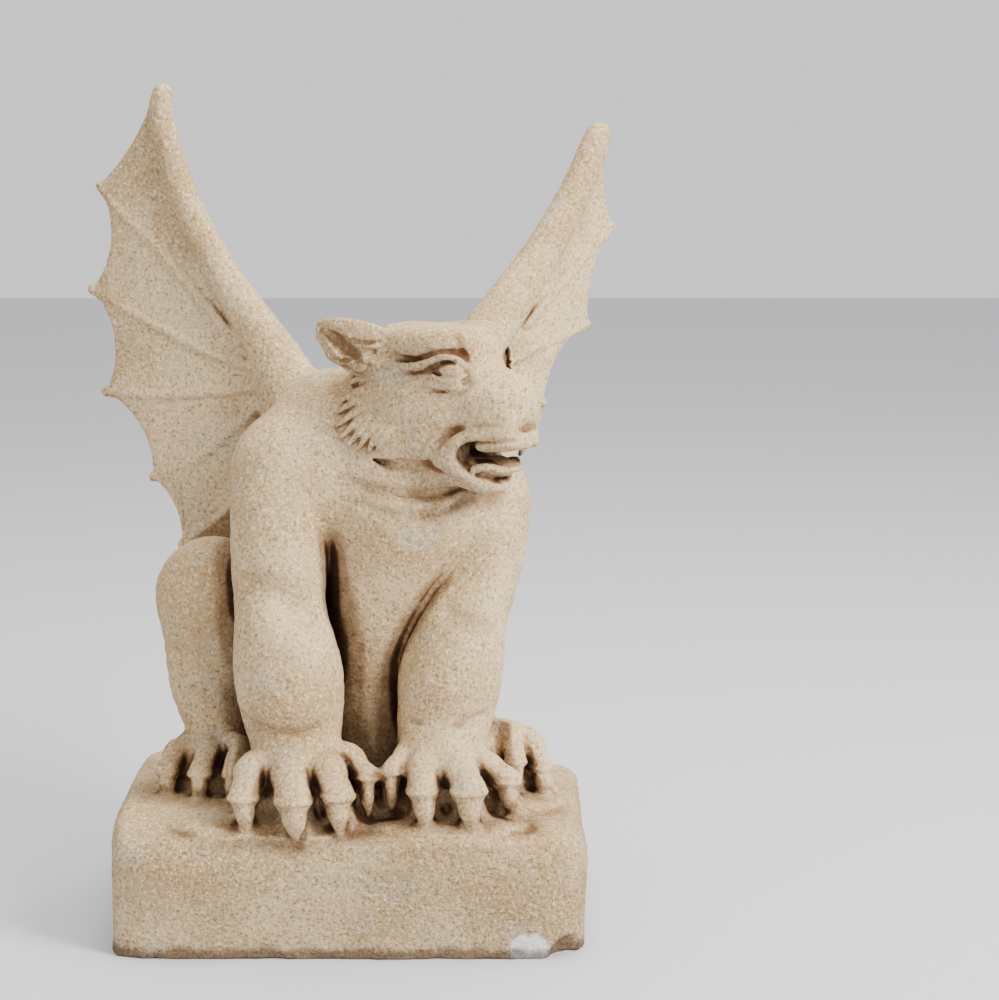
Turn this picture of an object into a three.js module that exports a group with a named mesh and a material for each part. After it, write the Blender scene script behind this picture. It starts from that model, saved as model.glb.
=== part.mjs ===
// A winged gargoyle cast in one piece with its plinth.
// Millimetres, +Z up, origin in the middle of the plinth's underside, the creature's chest towards -Y.
// The creature's right side lies towards -X: "left" and "right" below are as seen from the front.
import * as THREE from 'three';

// ---------------------------------------------------------------- driving dimensions
const PLINTH = { middle: -3, halfWidth: 219, halfDepth: 166, top: 118 };
const HEAD = { centre: [62, -55, 520], yaw: 57 };
const WING_HALF_THICKNESS = 5.5;
const WING_EDGE_ROUND = 2.5;
const LEFT_WING_FOOT = [-60, 60];
const RIGHT_WING_FOOT = [70, 75];
const LEFT_PALM = [-57, -92, 160];
const RIGHT_PALM = [81, -78, 160];
const FAR_EAR_DROP = 13;
const STONE = { colour: 0xcbb794, roughness: 0.94, metalness: 0 };
// box that holds the whole figure, size of the sampling cells, number of triangles kept
const LOWEST = [-300, -190, -7.3];
const HIGHEST = [300, 280, 820];
const CELL = 4.2;
const TRIANGLES = 9600;

// ---------------------------------------------------------------- small vector helpers
const add = (a, b) => a.map((v, i) => v + b[i]);
const scale = (a, factor) => a.map((v) => v * factor);
const mix = (a, b, t) => a.map((v, i) => v + t * (b[i] - v));
const unit = (a) => scale(a, 1 / Math.hypot(...a));
const clamp01 = (t) => Math.min(Math.max(t, 0), 1);
const radians = (degrees) => (degrees * Math.PI) / 180;

// the smaller of two distances, with a fillet of the given width between them
function softMin(a, b, width) {
  const overlap = Math.max(width - Math.abs(a - b), 0);
  return Math.min(a, b) - (width > 0 ? (overlap * overlap) / (4 * width) : 0);
}
const softMax = (a, b, width) => -softMin(-a, -b, width);

// ---------------------------------------------------------------- shapes
// Every shape has a bounding sphere (centre, reach) and a distance, negative inside.
// A Form is a list of shapes joined and cut one after the other, each with its own fillet.
class Form {
  constructor(steps = []) {
    this.steps = steps;
  }

  join(shape, blend = 0) {
    this.steps.push({ sign: 1, shape, blend });
    return this;
  }

  cut(shape, blend = 0) {
    this.steps.push({ sign: -1, shape, blend });
    return this;
  }

  close() {
    const joined = this.steps.filter((step) => step.sign > 0).map((step) => step.shape);
    const low = [0, 1, 2].map((i) => Math.min(...joined.map((shape) => shape.centre[i] - shape.reach)));
    const high = [0, 1, 2].map((i) => Math.max(...joined.map((shape) => shape.centre[i] + shape.reach)));
    this.centre = mix(low, high, 0.5);
    this.reach = Math.hypot(...low.map((v, i) => (high[i] - v) / 2));
    return this;
  }

  // the same form with only the shapes that can matter inside a sphere
  near(centre, radius) {
    const kept = [];
    for (const { sign, shape, blend } of this.steps) {
      const margin = radius + 1.6 * blend + 4;
      const gap = Math.hypot(...shape.centre.map((v, i) => v - centre[i])) - shape.reach;
      if (gap > margin) continue;
      const local = shape.near ? shape.near(centre, margin) : shape;
      if (local) kept.push({ sign, shape: local, blend });
    }
    return kept.some((step) => step.sign > 0) ? new Form(kept) : null;
  }

  distance(x, y, z) {
    let d = 80;
    for (const { sign, shape, blend } of this.steps) {
      const e = shape.distance(x, y, z);
      d = sign > 0 ? softMin(d, e, blend) : softMax(d, -e, blend);
    }
    return d;
  }
}

const WORLD = [[1, 0, 0], [0, 1, 0], [0, 0, 1]];
// the world axes turned about Z
function turned(degrees) {
  const [c, s] = [Math.cos(radians(degrees)), Math.sin(radians(degrees))];
  return [[c, s, 0], [-s, c, 0], [0, 0, 1]];
}

function egg(centre, radii, turn = WORLD) {
  const [cx, cy, cz] = centre;
  const [rx, ry, rz] = radii;
  const [u, v, w] = turn;
  return {
    centre,
    reach: Math.max(rx, ry, rz),
    distance(x, y, z) {
      const [a, b, c] = [x - cx, y - cy, z - cz];
      const p = (a * u[0] + b * u[1] + c * u[2]) / rx;
      const q = (a * v[0] + b * v[1] + c * v[2]) / ry;
      const r = (a * w[0] + b * w[1] + c * w[2]) / rz;
      const near = Math.sqrt(p * p + q * q + r * r) + 1e-9;
      const slope = Math.sqrt((p / rx) ** 2 + (q / ry) ** 2 + (r / rz) ** 2) + 1e-12;
      return (near * (near - 1)) / slope;
    },
  };
}

function roundedBox(centre, half, edge, turn = WORLD) {
  const [cx, cy, cz] = centre;
  const [hx, hy, hz] = half.map((v) => v - edge);
  const [u, v, w] = turn;
  return {
    centre,
    reach: Math.hypot(hx, hy, hz) + edge,
    distance(x, y, z) {
      const [a, b, c] = [x - cx, y - cy, z - cz];
      const p = Math.abs(a * u[0] + b * u[1] + c * u[2]) - hx;
      const q = Math.abs(a * v[0] + b * v[1] + c * v[2]) - hy;
      const r = Math.abs(a * w[0] + b * w[1] + c * w[2]) - hz;
      const out = Math.hypot(Math.max(p, 0), Math.max(q, 0), Math.max(r, 0));
      return out + Math.min(Math.max(p, q, r), 0) - edge;
    },
  };
}

// everything on the outer side of a plane
function beyond(point, normal) {
  const n = unit(normal);
  return {
    centre: [0, 0, 0],
    reach: 2000,
    distance: (x, y, z) => -((x - point[0]) * n[0] + (y - point[1]) * n[1] + (z - point[2]) * n[2]),
  };
}

// Catmull-Rom path through rows of numbers, place and radius alike
function smoothPath(rows, steps) {
  if (rows.length < 3 || steps < 2) return rows;
  const last = rows.length - 1;
  const mirror = (a, b) => a.map((v, i) => 2 * v - b[i]);
  const all = [mirror(rows[0], rows[1]), ...rows, mirror(rows[last], rows[last - 1])];
  const path = [];
  for (let i = 0; i < last; i += 1) {
    const [a, b, c, d] = all.slice(i, i + 4);
    for (let j = 0; j < steps; j += 1) {
      const t = j / steps;
      path.push(b.map((v, k) => 0.5 * (2 * v + (c[k] - a[k]) * t
        + (2 * a[k] - 5 * v + 4 * c[k] - d[k]) * t * t
        + (3 * v - a[k] - 3 * c[k] + d[k]) * t * t * t)));
    }
  }
  path.push(rows[last]);
  return path;
}

// round tube of changing radius made of links; press = [axis, factor] makes it thinner along the axis
function tubeOf(links, press) {
  const ends = links.flatMap(({ a, b }) => [a, b]);
  const low = [0, 1, 2].map((i) => Math.min(...ends.map((end) => end[i] - end[3])));
  const high = [0, 1, 2].map((i) => Math.max(...ends.map((end) => end[i] + end[3])));
  const [nx, ny, nz] = press ? press[0] : [0, 0, 0];
  const extra = press ? press[1] * press[1] - 1 : 0;
  const shrink = press ? 1 / (0.5 + 0.5 * press[1]) : 1;
  return {
    centre: mix(low, high, 0.5),
    reach: Math.hypot(...low.map((v, i) => (high[i] - v) / 2)),
    near(centre, radius) {
      const kept = links.filter(({ middle, reach }) => (
        Math.hypot(...middle.map((v, i) => v - centre[i])) < reach + radius + 2));
      if (!kept.length) return null;
      return kept.length === links.length ? this : tubeOf(kept, press);
    },
    distance(x, y, z) {
      let best = Infinity;
      for (const { a, v, length2, slim } of links) {
        const [px, py, pz] = [x - a[0], y - a[1], z - a[2]];
        const t = clamp01((px * v[0] + py * v[1] + pz * v[2]) / length2);
        const [ex, ey, ez] = [px - t * v[0], py - t * v[1], pz - t * v[2]];
        const side = ex * nx + ey * ny + ez * nz;
        const d = Math.sqrt(ex * ex + ey * ey + ez * ez + extra * side * side) - (a[3] + t * slim);
        best = Math.min(best, d);
      }
      return best * shrink;
    },
  };
}
// rows are [x, y, z, radius]
function tube(rows, steps = 5, press = null) {
  const path = smoothPath(rows, steps);
  const links = path.slice(1).map((b, i) => {
    const a = path[i];
    const v = [b[0] - a[0], b[1] - a[1], b[2] - a[2]];
    const length2 = v[0] * v[0] + v[1] * v[1] + v[2] * v[2] + 1e-9;
    const middle = mix(a.slice(0, 3), b, 0.5);
    const reach = Math.sqrt(length2) / 2 + Math.max(a[3], b[3]);
    return { a, b, v, length2, slim: b[3] - a[3], middle, reach };
  });
  return tubeOf(links, press);
}

// the first place of a form's surface met from a start in a direction, raised by lift
function meet(form, start, toward, lift = 0) {
  let at = start;
  for (let i = 0; i < 90; i += 1) {
    const d = form.distance(...at) - lift;
    if (d < 0.05) break;
    at = add(at, scale(toward, Math.max(d * 0.7, 0.1)));
  }
  return at;
}

// ---------------------------------------------------------------- plinth
// slow waves between about -1 and 1, for worn and rough stone
function waves(x, y, z, size) {
  const [a, b, c] = [x / size, y / size, z / size];
  return (Math.sin(1.9 * a + 0.7 * b + 1.3 * c) + Math.sin(-1.1 * a + 2.3 * b + 0.9 * c + 1.7)
    + Math.sin(0.8 * a - 1.4 * b + 2.6 * c + 4.1) + Math.sin(2.9 * a + 1.7 * b - 1.9 * c + 2.9)) / 3;
}
function worn({ centre, reach, distance }, depth, size) {
  const uneven = (x, y, z) => distance(x, y, z) + depth * waves(x, y, z, size);
  return { centre, reach: reach + depth, distance: uneven };
}

// mounds under the four feet as (x, y, half width, half depth)
const MOUNDS = [[-80, -138, 66, 24], [92, -126, 62, 26], [-148, -50, 48, 40], [152, -40, 44, 36]];
function plinth() {
  const { middle, halfWidth, halfDepth, top } = PLINTH;
  const form = new Form();
  form.join(worn(roundedBox([middle, 0, 50], [halfWidth, halfDepth, 90], 14), 1.6, 42));
  // upright corners, worn round
  form.cut(beyond([196, -halfDepth, 0], [0.72, -0.69, 0.02]), 22);
  form.cut(beyond([-212, -halfDepth, 0], [-0.62, -0.78, 0.04]), 22);
  form.cut(beyond([-219, halfDepth, 0], [-0.7, 0.7, 0.03]), 16);
  form.cut(beyond([200, halfDepth, 0], [0.7, 0.7, 0.05]), 22);
  // top: nearly level under the feet, falling to the front, to the right end and to the back
  form.cut(beyond([0, 0, top], [0.03, 0, 1]), 16);
  form.cut(beyond([0, -148, top - 4], [0, -0.5, 0.86]), 24);
  form.cut(beyond([202, 0, top - 3], [0.55, 0, 0.84]), 22);
  form.cut(beyond([0, 0, top + 5], [0.03, 0.11, 0.99]), 12);
  // stone built up around the claws
  for (const [x, y, rx, ry] of MOUNDS) form.join(egg([x, y, top - 6], [rx, ry, 10]), 18);
  form.cut(egg([-72, -196, 124], [105, 46, 36]), 26);
  // chipped lower corner
  form.cut(egg([203, -158, 4], [20, 16, 15]), 6);
  form.cut(egg([190, -168, 2], [12, 9, 9]), 5);
  form.cut(beyond([0, 0, 0], [0, 0, -1]));
  return form.close();
}

// ---------------------------------------------------------------- trunk
const BELLY = [[42, -26, 400, 70], [27, -24, 340, 57], [14, -16, 272, 43], [8, -8, 225, 35], [5, 2, 140, 32]];
const SPINE = [[-22, 34, 462, 60], [-2, 56, 425, 78], [10, 74, 345, 87], [14, 76, 245, 90],
  [16, 74, 170, 84]];
const NAPE = [[-18, 10, 456, 62], [14, -20, 470, 58], [42, -38, 470, 52]];
// folds of the throat as (x, z), with the depth of the groove
const THROAT_FOLDS = [
  [[-12, 438, 1.5], [8, 430, 4], [40, 426, 4], [80, 424, 4], [100, 430, 1.5]],
  [[4, 416, 1.5], [22, 407, 4], [52, 403, 4], [84, 408, 4], [100, 416, 1.5]],
];
function trunk() {
  const form = new Form();
  form.join(egg([34, 10, 410], [84, 88, 96], turned(14)));
  form.join(tube(BELLY, 12), 30);
  form.join(tube(SPINE, 10), 40);
  form.join(tube(NAPE, 8), 36);
  // shoulders
  form.join(egg([-62, -24, 438], [58, 56, 56], turned(14)), 26);
  form.join(egg([108, -2, 405], [56, 50, 54], turned(14)), 26);
  form.join(egg([-34, -36, 424], [42, 42, 52]), 20);
  form.close();
  for (const fold of THROAT_FOLDS) {
    form.cut(tube(fold.map(([x, z, r]) => [...meet(form, [x, -220, z], [0, 1, 0], 1), r])), 7);
  }
  // haunches and rump resting on the plinth
  form.join(egg([-88, 60, 164], [58, 66, 72], turned(14)), 20);
  form.join(egg([84, 78, 162], [46, 64, 70], turned(14)), 20);
  form.join(egg([12, 96, 140], [96, 58, 46]), 20);
  return form.close();
}

// ---------------------------------------------------------------- legs, feet and claws
// creases are laid on the front of the arm as (x, z, radius)
const LEFT_ARM = {
  upper: [[-68, -34, 430, 49], [-73, -50, 395, 46], [-73, -60, 350, 45], [-72, -64, 312, 42]],
  lower: [[-72, -74, 310, 41], [-67, -82, 276, 48], [-63, -84, 246, 51],
    [-60, -80, 212, 47], [-58, -82, 186, 41], [-58, -90, 172, 38]],
  creases: [[[-96, 340, 4], [-78, 334, 7], [-58, 325, 8], [-44, 314, 7]],
    [[-104, 214, 1.5], [-84, 205, 3], [-58, 202, 3.2], [-34, 206, 1.5]]],
};
const RIGHT_ARM = {
  upper: [[115, -6, 400, 49], [116, -16, 370, 46], [110, -28, 330, 42], [105, -36, 306, 39]],
  lower: [[101, -46, 304, 39], [94, -54, 270, 46], [88, -58, 243, 49],
    [84, -58, 212, 46], [80, -62, 186, 42], [80, -74, 172, 37]],
  creases: [[[80, 310, 6], [100, 305, 8], [120, 299, 6], [132, 293, 3]],
    [[52, 208, 1.5], [72, 203, 3], [98, 205, 3.2], [120, 212, 1.5]]],
};
function foreleg({ upper, lower, creases }) {
  const form = new Form().join(tube(upper, 10)).join(tube(lower, 8), 6).close();
  const laid = creases.map((rows) => rows.map(([x, z, r]) => [...meet(form, [x, -260, z], [0, 1, 0], 1), r]));
  for (const rows of laid) form.cut(tube(rows), 3 * rows[1][3]);
  return form.close();
}

// arched finger, the collar at its end and the claw that comes out of it
function toe(heel, { knuckle, collar, tip, wide }) {
  const form = new Form();
  form.join(tube([
    [...add(heel, [0, 0, -wide * 0.3]), wide],
    [...add(knuckle, [0, 2, -wide]), wide * 1.06],
    [...add(mix(knuckle, collar, 0.5), [0, 2, -wide * 0.6]), wide * 0.96],
    [...add(collar, [0, 3, -wide * 0.1]), wide],
  ]));
  form.join(egg(add(collar, [0, 1, -2]), [wide * 1.1, wide * 1.04, wide * 0.5]), 3);
  const aim = unit(add(tip, scale(collar, -1)));
  form.join(tube([
    [...add(collar, scale(aim, wide * 0.2)), wide * 0.88],
    [...add(mix(collar, tip, 0.55), [0, -3, 0]), wide * 0.7],
    [...add(tip, [0, 3, 0]), 3.5],
  ]), 1);
  return form.close();
}
const LEFT_TOES = [
  { knuckle: [-96, -120, 182], collar: [-102, -141, 149], tip: [-99, -146, 116], wide: 13.5 },
  { knuckle: [-60, -128, 184], collar: [-55, -154, 150], tip: [-52, -159, 113], wide: 16.5 },
  { knuckle: [-25, -124, 184], collar: [-15, -146, 152], tip: [-12, -149, 116], wide: 15 },
  { knuckle: [-6, -100, 186], collar: [10, -118, 162], tip: [12, -121, 126], wide: 11 },
];
const RIGHT_TOES = [
  { knuckle: [48, -94, 186], collar: [35, -114, 166], tip: [34, -118, 130], wide: 10.5 },
  { knuckle: [64, -114, 181], collar: [64, -135, 154], tip: [67, -141, 117], wide: 14.5 },
  { knuckle: [97, -114, 181], collar: [106, -139, 155], tip: [110, -143, 115], wide: 16 },
  { knuckle: [121, -94, 178], collar: [142, -108, 155], tip: [146, -112, 121], wide: 12.5 },
];
function paw(palm, toes) {
  const [x, y, z] = palm;
  const form = new Form().join(tube([[x, y, z + 18, 38], [x, y - 8, z, 34]]));
  for (const each of toes) form.join(toe(add(mix(palm, each.knuckle, 0.5), [0, 2, 12]), each), 6);
  return form.close();
}

const LEFT_HIND = {
  hip: [-42, 82, 212, 78], knee: [-142, 2, 310, 53], shin: [-152, 10, 228, 37], ankle: [-143, 4, 176, 27],
};
const RIGHT_HIND = {
  hip: [60, 92, 205, 74], knee: [78, 36, 278, 46], shin: [88, 38, 216, 32], ankle: [104, 18, 174, 25],
};
function hindleg({ hip, knee, shin, ankle }) {
  const [x, y, z, r] = knee;
  return new Form()
    .join(tube([hip, mix(hip, knee, 0.5), knee]))
    .join(tube([[x, y, z, r * 0.94], shin, ankle]), 20)
    .close();
}
const LEFT_FOOT = {
  sole: [-146, -8, 152],
  toes: [
    { knuckle: [-177, -30, 172], collar: [-184, -50, 148], tip: [-184, -57, 121], wide: 11 },
    { knuckle: [-146, -38, 175], collar: [-151, -64, 150], tip: [-152, -72, 121], wide: 11 },
    { knuckle: [-116, -40, 178], collar: [-119, -66, 150], tip: [-120, -72, 121], wide: 11 },
  ],
};
const RIGHT_FOOT = {
  sole: [134, 0, 152],
  toes: [
    { knuckle: [146, -20, 186], collar: [150, -44, 156], tip: [150, -56, 121], wide: 10.5 },
    { knuckle: [165, -10, 177], collar: [175, -32, 148], tip: [180, -42, 114], wide: 11 },
    { knuckle: [116, -26, 180], collar: [116, -52, 150], tip: [116, -60, 121], wide: 11 },
  ],
};
function foot({ sole, toes }) {
  const form = new Form().join(egg(sole, [34, 34, 27]));
  for (const each of toes) form.join(toe(add(mix(sole, each.knuckle, 0.4), [0, 4, 12]), each), 6);
  return form.close();
}

// ---------------------------------------------------------------- wings
// A wing stands in an upright plane through its foot, swept back about it; places in it are (out, up).
// arm: the leading bone with its radius; tips: finger ends with a hollow of the given sag after each.
const LEFT_WING = {
  foot: LEFT_WING_FOOT,
  outward: -1,
  sweep: 12,
  bow: 16,
  arm: [[-8, 455, 36], [8, 492, 33], [20, 525, 27], [40, 560, 21], [81, 620, 16.5], [118, 692, 14],
    [136, 748, 12.5], [140, 774, 11], [138, 790, 9.5]],
  tips: [[148, 788], [209, 700], [220, 596], [208, 494], [157, 410], [127, 343]],
  sags: [7, 17, 18, 16, 10],
  fingers: [
    [[62, 550], [98, 588], [146, 640], [188, 677], [208, 699]],
    [[46, 525], [100, 541], [155, 565], [220, 596]],
    [[34, 507], [100, 497], [160, 493], [208, 494]],
    [[30, 494], [64, 466], [105, 432], [157, 410]],
    [[22, 470], [62, 400], [90, 368], [127, 343]],
  ],
  inner: [[10, 350], [0, 430]],
};
const RIGHT_WING = {
  foot: RIGHT_WING_FOOT,
  outward: 1,
  sweep: 40,
  bow: 12,
  arm: [[-12, 455, 34], [10, 490, 33], [46, 530, 28], [97, 582, 23], [147, 633, 19], [194, 690, 16.5],
    [219, 730, 15], [228, 747, 13]],
  tips: [[238, 750], [252, 651], [213, 552], [146, 476], [105, 400], [76, 338]],
  sags: [9, 14, 16, 12, 9],
  fingers: [
    [[120, 560], [160, 590], [212, 626], [252, 651]],
    [[82, 520], [120, 530], [168, 542], [213, 552]],
    [[72, 512], [100, 497], [146, 476]],
    [[60, 500], [80, 460], [105, 400]],
    [[40, 480], [50, 400], [76, 338]],
  ],
  inner: [[-10, 345], [-20, 430]],
};

// flat distance to a closed outline of straight sides, negative inside
function outlineDistance(spans, s, z) {
  let best = Infinity;
  let inside = false;
  for (const { p, q, along, length2 } of spans) {
    const [ps, pz] = [s - p[0], z - p[1]];
    const t = clamp01((ps * along[0] + pz * along[1]) / length2);
    best = Math.min(best, (ps - t * along[0]) ** 2 + (pz - t * along[1]) ** 2);
    const above = z >= p[1];
    const turn = along[0] * pz > along[1] * ps;
    if (above !== (z >= q[1]) && above === turn) inside = !inside;
  }
  return inside ? -Math.sqrt(best) : Math.sqrt(best);
}

// circle through two finger ends that hollows the edge between them
function hollow(p, q, sag) {
  const chord = Math.hypot(q[0] - p[0], q[1] - p[1]);
  const radius = (chord * chord / 4 + sag * sag) / (2 * sag);
  const away = [(p[1] - q[1]) / chord, (q[0] - p[0]) / chord];
  return { centre: add(mix(p, q, 0.5), scale(away, radius - sag)), radius };
}

function wing({ foot: [fx, fy], outward, sweep, bow, arm, tips, sags, fingers, inner }) {
  const [c, s0] = [Math.cos(radians(sweep)), Math.sin(radians(sweep))];
  const out = [outward * c, s0];
  const back = [-outward * s0, c];
  const bend = (s) => bow * (Math.max(s, 0) / 200) ** 2;
  const place = (s, z, behind) => {
    const off = behind + bend(s);
    return [fx + out[0] * s + back[0] * off, fy + out[1] * s + back[1] * off, z];
  };
  const outline = [...tips, ...inner, ...arm.slice(1, -1).map(([s, z]) => [s, z])];
  const spans = outline.map((p, i) => {
    const q = outline[(i + 1) % outline.length];
    const along = [q[0] - p[0], q[1] - p[1]];
    return { p, q, along, length2: along[0] ** 2 + along[1] ** 2 };
  });
  const hollows = sags.map((sag, i) => hollow(tips[i], tips[i + 1], sag));
  const low = [0, 1].map((i) => Math.min(...outline.map((p) => p[i])));
  const high = [0, 1].map((i) => Math.max(...outline.map((p) => p[i])));
  const web = {
    centre: place(...mix(low, high, 0.5), 0),
    reach: Math.hypot(high[0] - low[0], high[1] - low[1]) / 2 + bow,
    distance(x, y, z) {
      const s = (x - fx) * out[0] + (y - fy) * out[1];
      const behind = (x - fx) * back[0] + (y - fy) * back[1] - bend(s);
      let flat = outlineDistance(spans, s, z);
      for (const { centre, radius } of hollows) {
        flat = Math.max(flat, radius - Math.hypot(s - centre[0], z - centre[1]));
      }
      const p = flat + WING_EDGE_ROUND;
      const q = Math.abs(behind) - WING_HALF_THICKNESS + WING_EDGE_ROUND;
      return Math.min(Math.max(p, q), 0) + Math.hypot(Math.max(p, 0), Math.max(q, 0)) - WING_EDGE_ROUND;
    },
  };
  const form = new Form().join(web);
  for (const finger of fingers) {
    const last = finger.length - 1;
    form.join(tube(finger.map(([s, z], i) => [...place(s, z, -1.5), 8.2 - (3 * i) / last]), 4), 2);
  }
  form.join(tube(arm.map(([s, z, r]) => [...place(s, z, -3), r])), 4);
  return form.close();
}

// ---------------------------------------------------------------- head
// Places in the head are (fore, side, up) from the middle of the skull; side > 0 is the creature's right.
const FORE = [Math.sin(radians(HEAD.yaw)), -Math.cos(radians(HEAD.yaw)), 0];
const SIDE = [-Math.cos(radians(HEAD.yaw)), -Math.sin(radians(HEAD.yaw)), 0];
const HEAD_AXES = [FORE, SIDE, [0, 0, 1]];
const BOTH = [1, -1];
const inHead = (f, s, u) => HEAD.centre.map((v, i) => v + FORE[i] * f + SIDE[i] * s + (i === 2 ? u : 0));
const headEgg = (f, s, u, radii) => egg(inHead(f, s, u), radii, HEAD_AXES);
const headBox = (f, s, u, half, edge) => roundedBox(inHead(f, s, u), half, edge, HEAD_AXES);
function headTube(rows, steps, press) {
  return tube(rows.map(([f, s, u, r]) => [...inHead(f, s, u), r]), steps, press);
}

function skull() {
  const form = new Form();
  form.join(headEgg(-6, 0, 0, [66, 50, 56]));
  form.join(headBox(19, 0, 29, [56, 43, 29], 22), 12);
  for (const side of BOTH) {
    // cheek, heavy brow and jaw bone
    form.join(headEgg(14, side * 26, -18, [52, 25, 44]), 16);
    form.join(headTube([[-14, side * 34, 41, 12], [14, side * 36, 43, 15], [44, side * 36, 44, 16],
      [66, side * 30, 46, 12]], 8), 6);
    form.join(headTube([[-6, side * 26, -46, 22], [40, side * 25, -54, 17]]), 10);
  }
  return form.close();
}

function muzzle() {
  const form = new Form();
  form.join(headEgg(74, 0, -8, [46, 39, 31]));
  form.join(headBox(88, 0, -13, [32, 33, 26], 22), 8);
  form.join(headTube([[52, 0, 12, 24], [84, 0, -2, 22], [100, 0, -6, 20]], 8), 10);
  for (const side of BOTH) form.join(headEgg(88, side * 22, -24, [26, 15, 15]), 8);
  // lower jaw
  form.join(headTube([[18, 0, -50, 32], [44, 0, -66, 24], [66, 0, -80, 14], [78, 0, -84, 11]], 8), 10);
  for (const side of BOTH) {
    form.join(headTube([[34, side * 26, -52, 16], [56, side * 27, -66, 12], [78, side * 16, -82, 10]], 8), 8);
  }
  // open mouth
  form.cut(headTube([[62, 0, -58, 12], [90, 0, -62, 20], [122, 0, -63, 23]]), 2);
  for (const side of BOTH) {
    form.cut(headTube([[61, side * 30, -57, 8], [76, side * 30, -57, 15], [96, side * 28, -61, 20],
      [124, side * 26, -63, 23]]), 2);
  }
  return form.close();
}

function lips(side) {
  return headTube([[117, 0, -37, 4.5], [115, side * 15, -37, 5], [104, side * 28, -36, 5.5],
    [86, side * 34, -36, 6], [69, side * 37, -40, 6.5], [58, side * 38, -48, 7], [54, side * 37, -58, 7],
    [60, side * 34, -70, 6.5], [72, side * 26, -80, 6], [83, side * 12, -87, 6],
    [86, 0, -88, 6]], 5, [SIDE, 1.2]);
}

function eye(side) {
  const form = new Form();
  form.join(headEgg(57, side * 42, 24, [15, 8.5, 9.5]));
  // upper lid running out into a long fold, and lower lid
  form.join(headTube([[-8, side * 45, 26, 2.5], [14, side * 48, 22, 4.4], [34, side * 49, 25, 4.8],
    [48, side * 49, 33, 4.2], [60, side * 47, 35, 4.2], [71, side * 42, 30, 3.6],
    [77, side * 34, 20, 2.8]]), 2.5);
  form.join(headTube([[38, side * 45, 20, 2.2], [48, side * 48, 14.5, 2.8], [62, side * 45.5, 13.5, 2.8],
    [75, side * 36, 19, 2.2]]), 2);
  return form.close();
}

function ear(side) {
  const drop = side > 0 ? 0 : FAR_EAR_DROP;
  const form = new Form();
  form.join(headTube([[-14, side * 42, 34 - drop, 18], [-30, side * 47, 37 - drop, 23],
    [-52, side * 51, 42 - drop, 20], [-69, side * 53, 49 - drop, 12.5]], 6, [SIDE, 1.9]));
  form.cut(headTube([[-14, side * 57, 38 - drop, 8], [-30, side * 61, 39 - drop, 16],
    [-50, side * 64, 44 - drop, 14], [-66, side * 62, 50 - drop, 7]], 6, [SIDE, 1.1]), 2);
  // curved ridges in the shell
  for (const radius of [19, 26, 33]) {
    const ridge = [195, 214, 233, 252, 271, 290].map((degrees) => {
      const [c, s] = [Math.cos(radians(degrees)), Math.sin(radians(degrees))];
      return [-20 + radius * c, side * (49 + radius * 0.05), 40 - drop + radius * 0.8 * s, 2.6];
    });
    form.join(headTube(ridge, 2), 2);
  }
  return form.close();
}

// the skin of one side of the head: the place at (fore, up), raised by lift
function sideSkin(form, side) {
  const inward = scale(SIDE, -side);
  return (f, u, lift) => meet(form, inHead(f, side * 110, u), inward, lift);
}

// pointed locks of hair behind the cheek, each from (fore, up) to (fore, up)
const LOCKS = [[-22, 16, -53, -4], [-24, 2, -52, -20], [-22, -10, -47, -36], [-16, -22, -37, -50],
  [-8, -28, -22, -53], [4, -30, -9, -55]];
function locks(skin) {
  const form = new Form();
  for (const [f0, u0, f1, u1] of LOCKS) {
    form.join(tube([[...skin(f0, u0, -4), 6], [...skin((f0 + f1) / 2 - 1, (u0 + u1) / 2 + 1, 0), 6.5],
      [...skin(f1, u1, 1.5), 2.4]]), 1);
  }
  return form.close();
}

const BROW_GROOVE = [[-4, 32, 2], [10, 31, 3.6], [32, 29, 4.2], [52, 36, 4.2], [68, 38, 4], [76, 32, 3.5]];
const CHEEK_CREASE = [[58, -20, 1.5], [46, -34, 3.2], [40, -48, 4], [42, -66, 3.6]];
const LIP_CREASE = [[84, -27, 1.4], [98, -26, 2], [108, -27, 1.4]];
function headOn(body) {
  body.join(skull(), 14);
  body.join(muzzle(), 12);
  const smooth = new Form([...body.steps]).close();
  for (const side of BOTH) {
    const skin = sideSkin(smooth, side);
    const crease = (rows, blend) => body.cut(tube(rows.map(([f, u, r]) => [...skin(f, u, 1), r])), blend);
    crease(BROW_GROOVE, 4);
    // eye socket and the frown beside the nose
    body.cut(headEgg(56, side * 52, 23, [20, 10, 11]), 6);
    body.cut(headTube([[66, side * 22, 60, 2.5], [77, side * 25, 48, 4], [79, side * 27, 34, 5]]), 4);
    body.join(eye(side), 3);
    body.join(headEgg(53, side * 39, 5, [20, 7.5, 7]), 7);
    body.join(lips(side), 4);
    crease(CHEEK_CREASE, 4);
    crease(LIP_CREASE, 3);
    // nostril, upper teeth and fang
    body.cut(headTube([[104, side * 30, 9, 3.6], [111, side * 21, 7, 2.4]]), 1.5);
    body.join(headBox(100, side * 23, -43, [15, 5.5, 10], 3), 1.5);
    body.join(headTube([[110, side * 18, -42, 6], [110, side * 18, -57, 2.5]]), 1.5);
    body.join(ear(side), 5);
    body.join(locks(skin), 2.5);
  }
  // tongue
  body.join(headEgg(72, 0, -73, [24, 17, 9]), 5);
  body.join(headEgg(82, 8, -72, [9, 8, 7]), 3);
  return body.close();
}

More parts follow.
